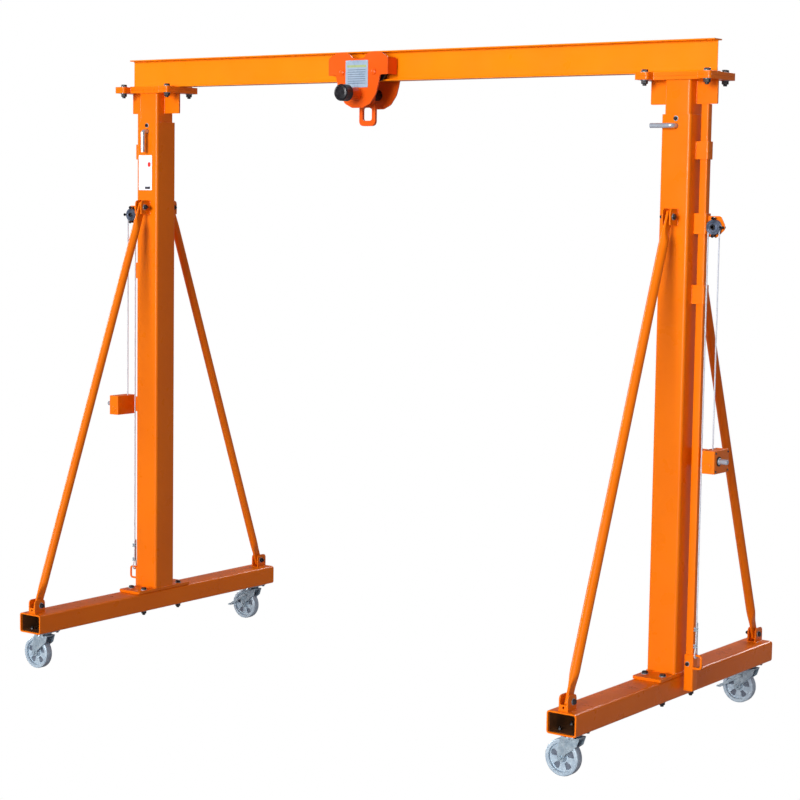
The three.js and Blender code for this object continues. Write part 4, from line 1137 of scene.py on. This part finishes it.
def split_by_view(tree, for_light, for_camera, target):
    """Joins one shader for the camera's direct view and another for all other rays."""
    split = tree.nodes.new("ShaderNodeMixShader")
    is_camera = tree.nodes.new("ShaderNodeLightPath").outputs["Is Camera Ray"]
    for i, output in enumerate((is_camera, for_light.outputs[0], for_camera.outputs[0])):
        tree.links.new(output, split.inputs[i])
    tree.links.new(split.outputs[0], target.inputs["Surface"])


def make_floor():
    """A wide floor: pale grey to the light, and plain studio white where the camera sees it."""
    shape = Shape()
    reach = 60000
    shape.prism("z", around(reach, reach), -20, 0)
    floor = object_from("studio_floor", shape)
    floor.data.transform(Matrix.Scale(MM, 4))
    n = Nodes("studio_floor")
    tone = n.blotches(0.4, 3.0, (0.3, (0.42, 0.42, 0.44)), (0.7, (0.44, 0.44, 0.46)))
    floor.data.materials.append(n.finish(Base_Color=tone, Roughness=0.9))
    white = n.tree.nodes.new("ShaderNodeEmission")
    white.inputs["Color"].default_value = (1, 1, 1, 1)
    split_by_view(n.tree, n.shader, white, n.tree.nodes["Material Output"])


def make_world(tint, strength):
    """Even tinted studio light, with a white backdrop where the camera looks past the object."""
    world = bpy.data.worlds.new("studio")
    world.use_nodes = True
    tree = world.node_tree
    backdrop = tree.nodes["Background"]
    backdrop.inputs["Color"].default_value = (1, 1, 1, 1)
    glow = tree.nodes.new("ShaderNodeBackground")
    glow.inputs["Color"].default_value = (*tint, 1)
    glow.inputs["Strength"].default_value = strength
    split_by_view(tree, glow, backdrop, tree.nodes["World Output"])
    bpy.context.scene.world = world


def make_sun(name, direction, strength, spread):
    """A broad, even light that travels along a direction."""
    data = bpy.data.lights.new(name, "SUN")
    data.energy, data.angle = strength, math.radians(spread)
    light = bpy.data.objects.new(name, data)
    light.rotation_mode = "QUATERNION"
    light.rotation_quaternion = Vector(direction).to_track_quat("-Z", "Y")
    bpy.context.scene.collection.objects.link(light)


def make_lights():
    """A low key light from the front, softer ones from behind and from the left, and a lilac fill."""
    make_world((0.92, 0.82, 0.90), 0.25)
    make_sun("key", (-0.07, 0.98, -0.13), 3.75, 28)
    make_sun("rear", (0.05, -0.84, -0.54), 1.5, 24)
    make_sun("left", (0.96, 0.10, -0.26), 1.1, 24)
    bpy.context.scene.view_settings.view_transform = "Standard"


def make_camera():
    """The viewing place, given as a compass turn from +Y, a downward pitch and a small roll."""
    turn, pitch, roll = (math.radians(degrees) for degrees in (35.829, 5.565, 0.854))
    place = (6.494144, -8.916591, 2.661466)
    data = bpy.data.cameras.new("camera")
    data.lens, data.sensor_width = 91.463, 36
    data.clip_start, data.clip_end = 0.1, 300
    camera = bpy.data.objects.new("camera", data)
    camera.matrix_world = (Matrix.Translation(place) @ Matrix.Rotation(turn, 4, "Z")
                           @ Matrix.Rotation(math.pi / 2 - pitch, 4, "X") @ Matrix.Rotation(roll, 4, "Z"))
    bpy.context.scene.collection.objects.link(camera)
    bpy.context.scene.camera = camera


LEG_PARTS = (make_base, make_post, make_braces, make_leg_fasteners, make_head, make_sole_plate,
             make_head_fasteners, make_lock_pin, make_push_tube, make_pulley_bracket, make_pulley,
             make_ropes, make_rope_eye, make_winch_housing, make_winch_drum, make_winch_shaft,
             make_winch_screws, make_casters)

make_camera()
make_beam()
for side_name, side_sign in SIDES:
    for make_part in LEG_PARTS:
        make_part(side_name, side_sign)
make_trolley()
make_leg_label()
make_floor()
make_lights()
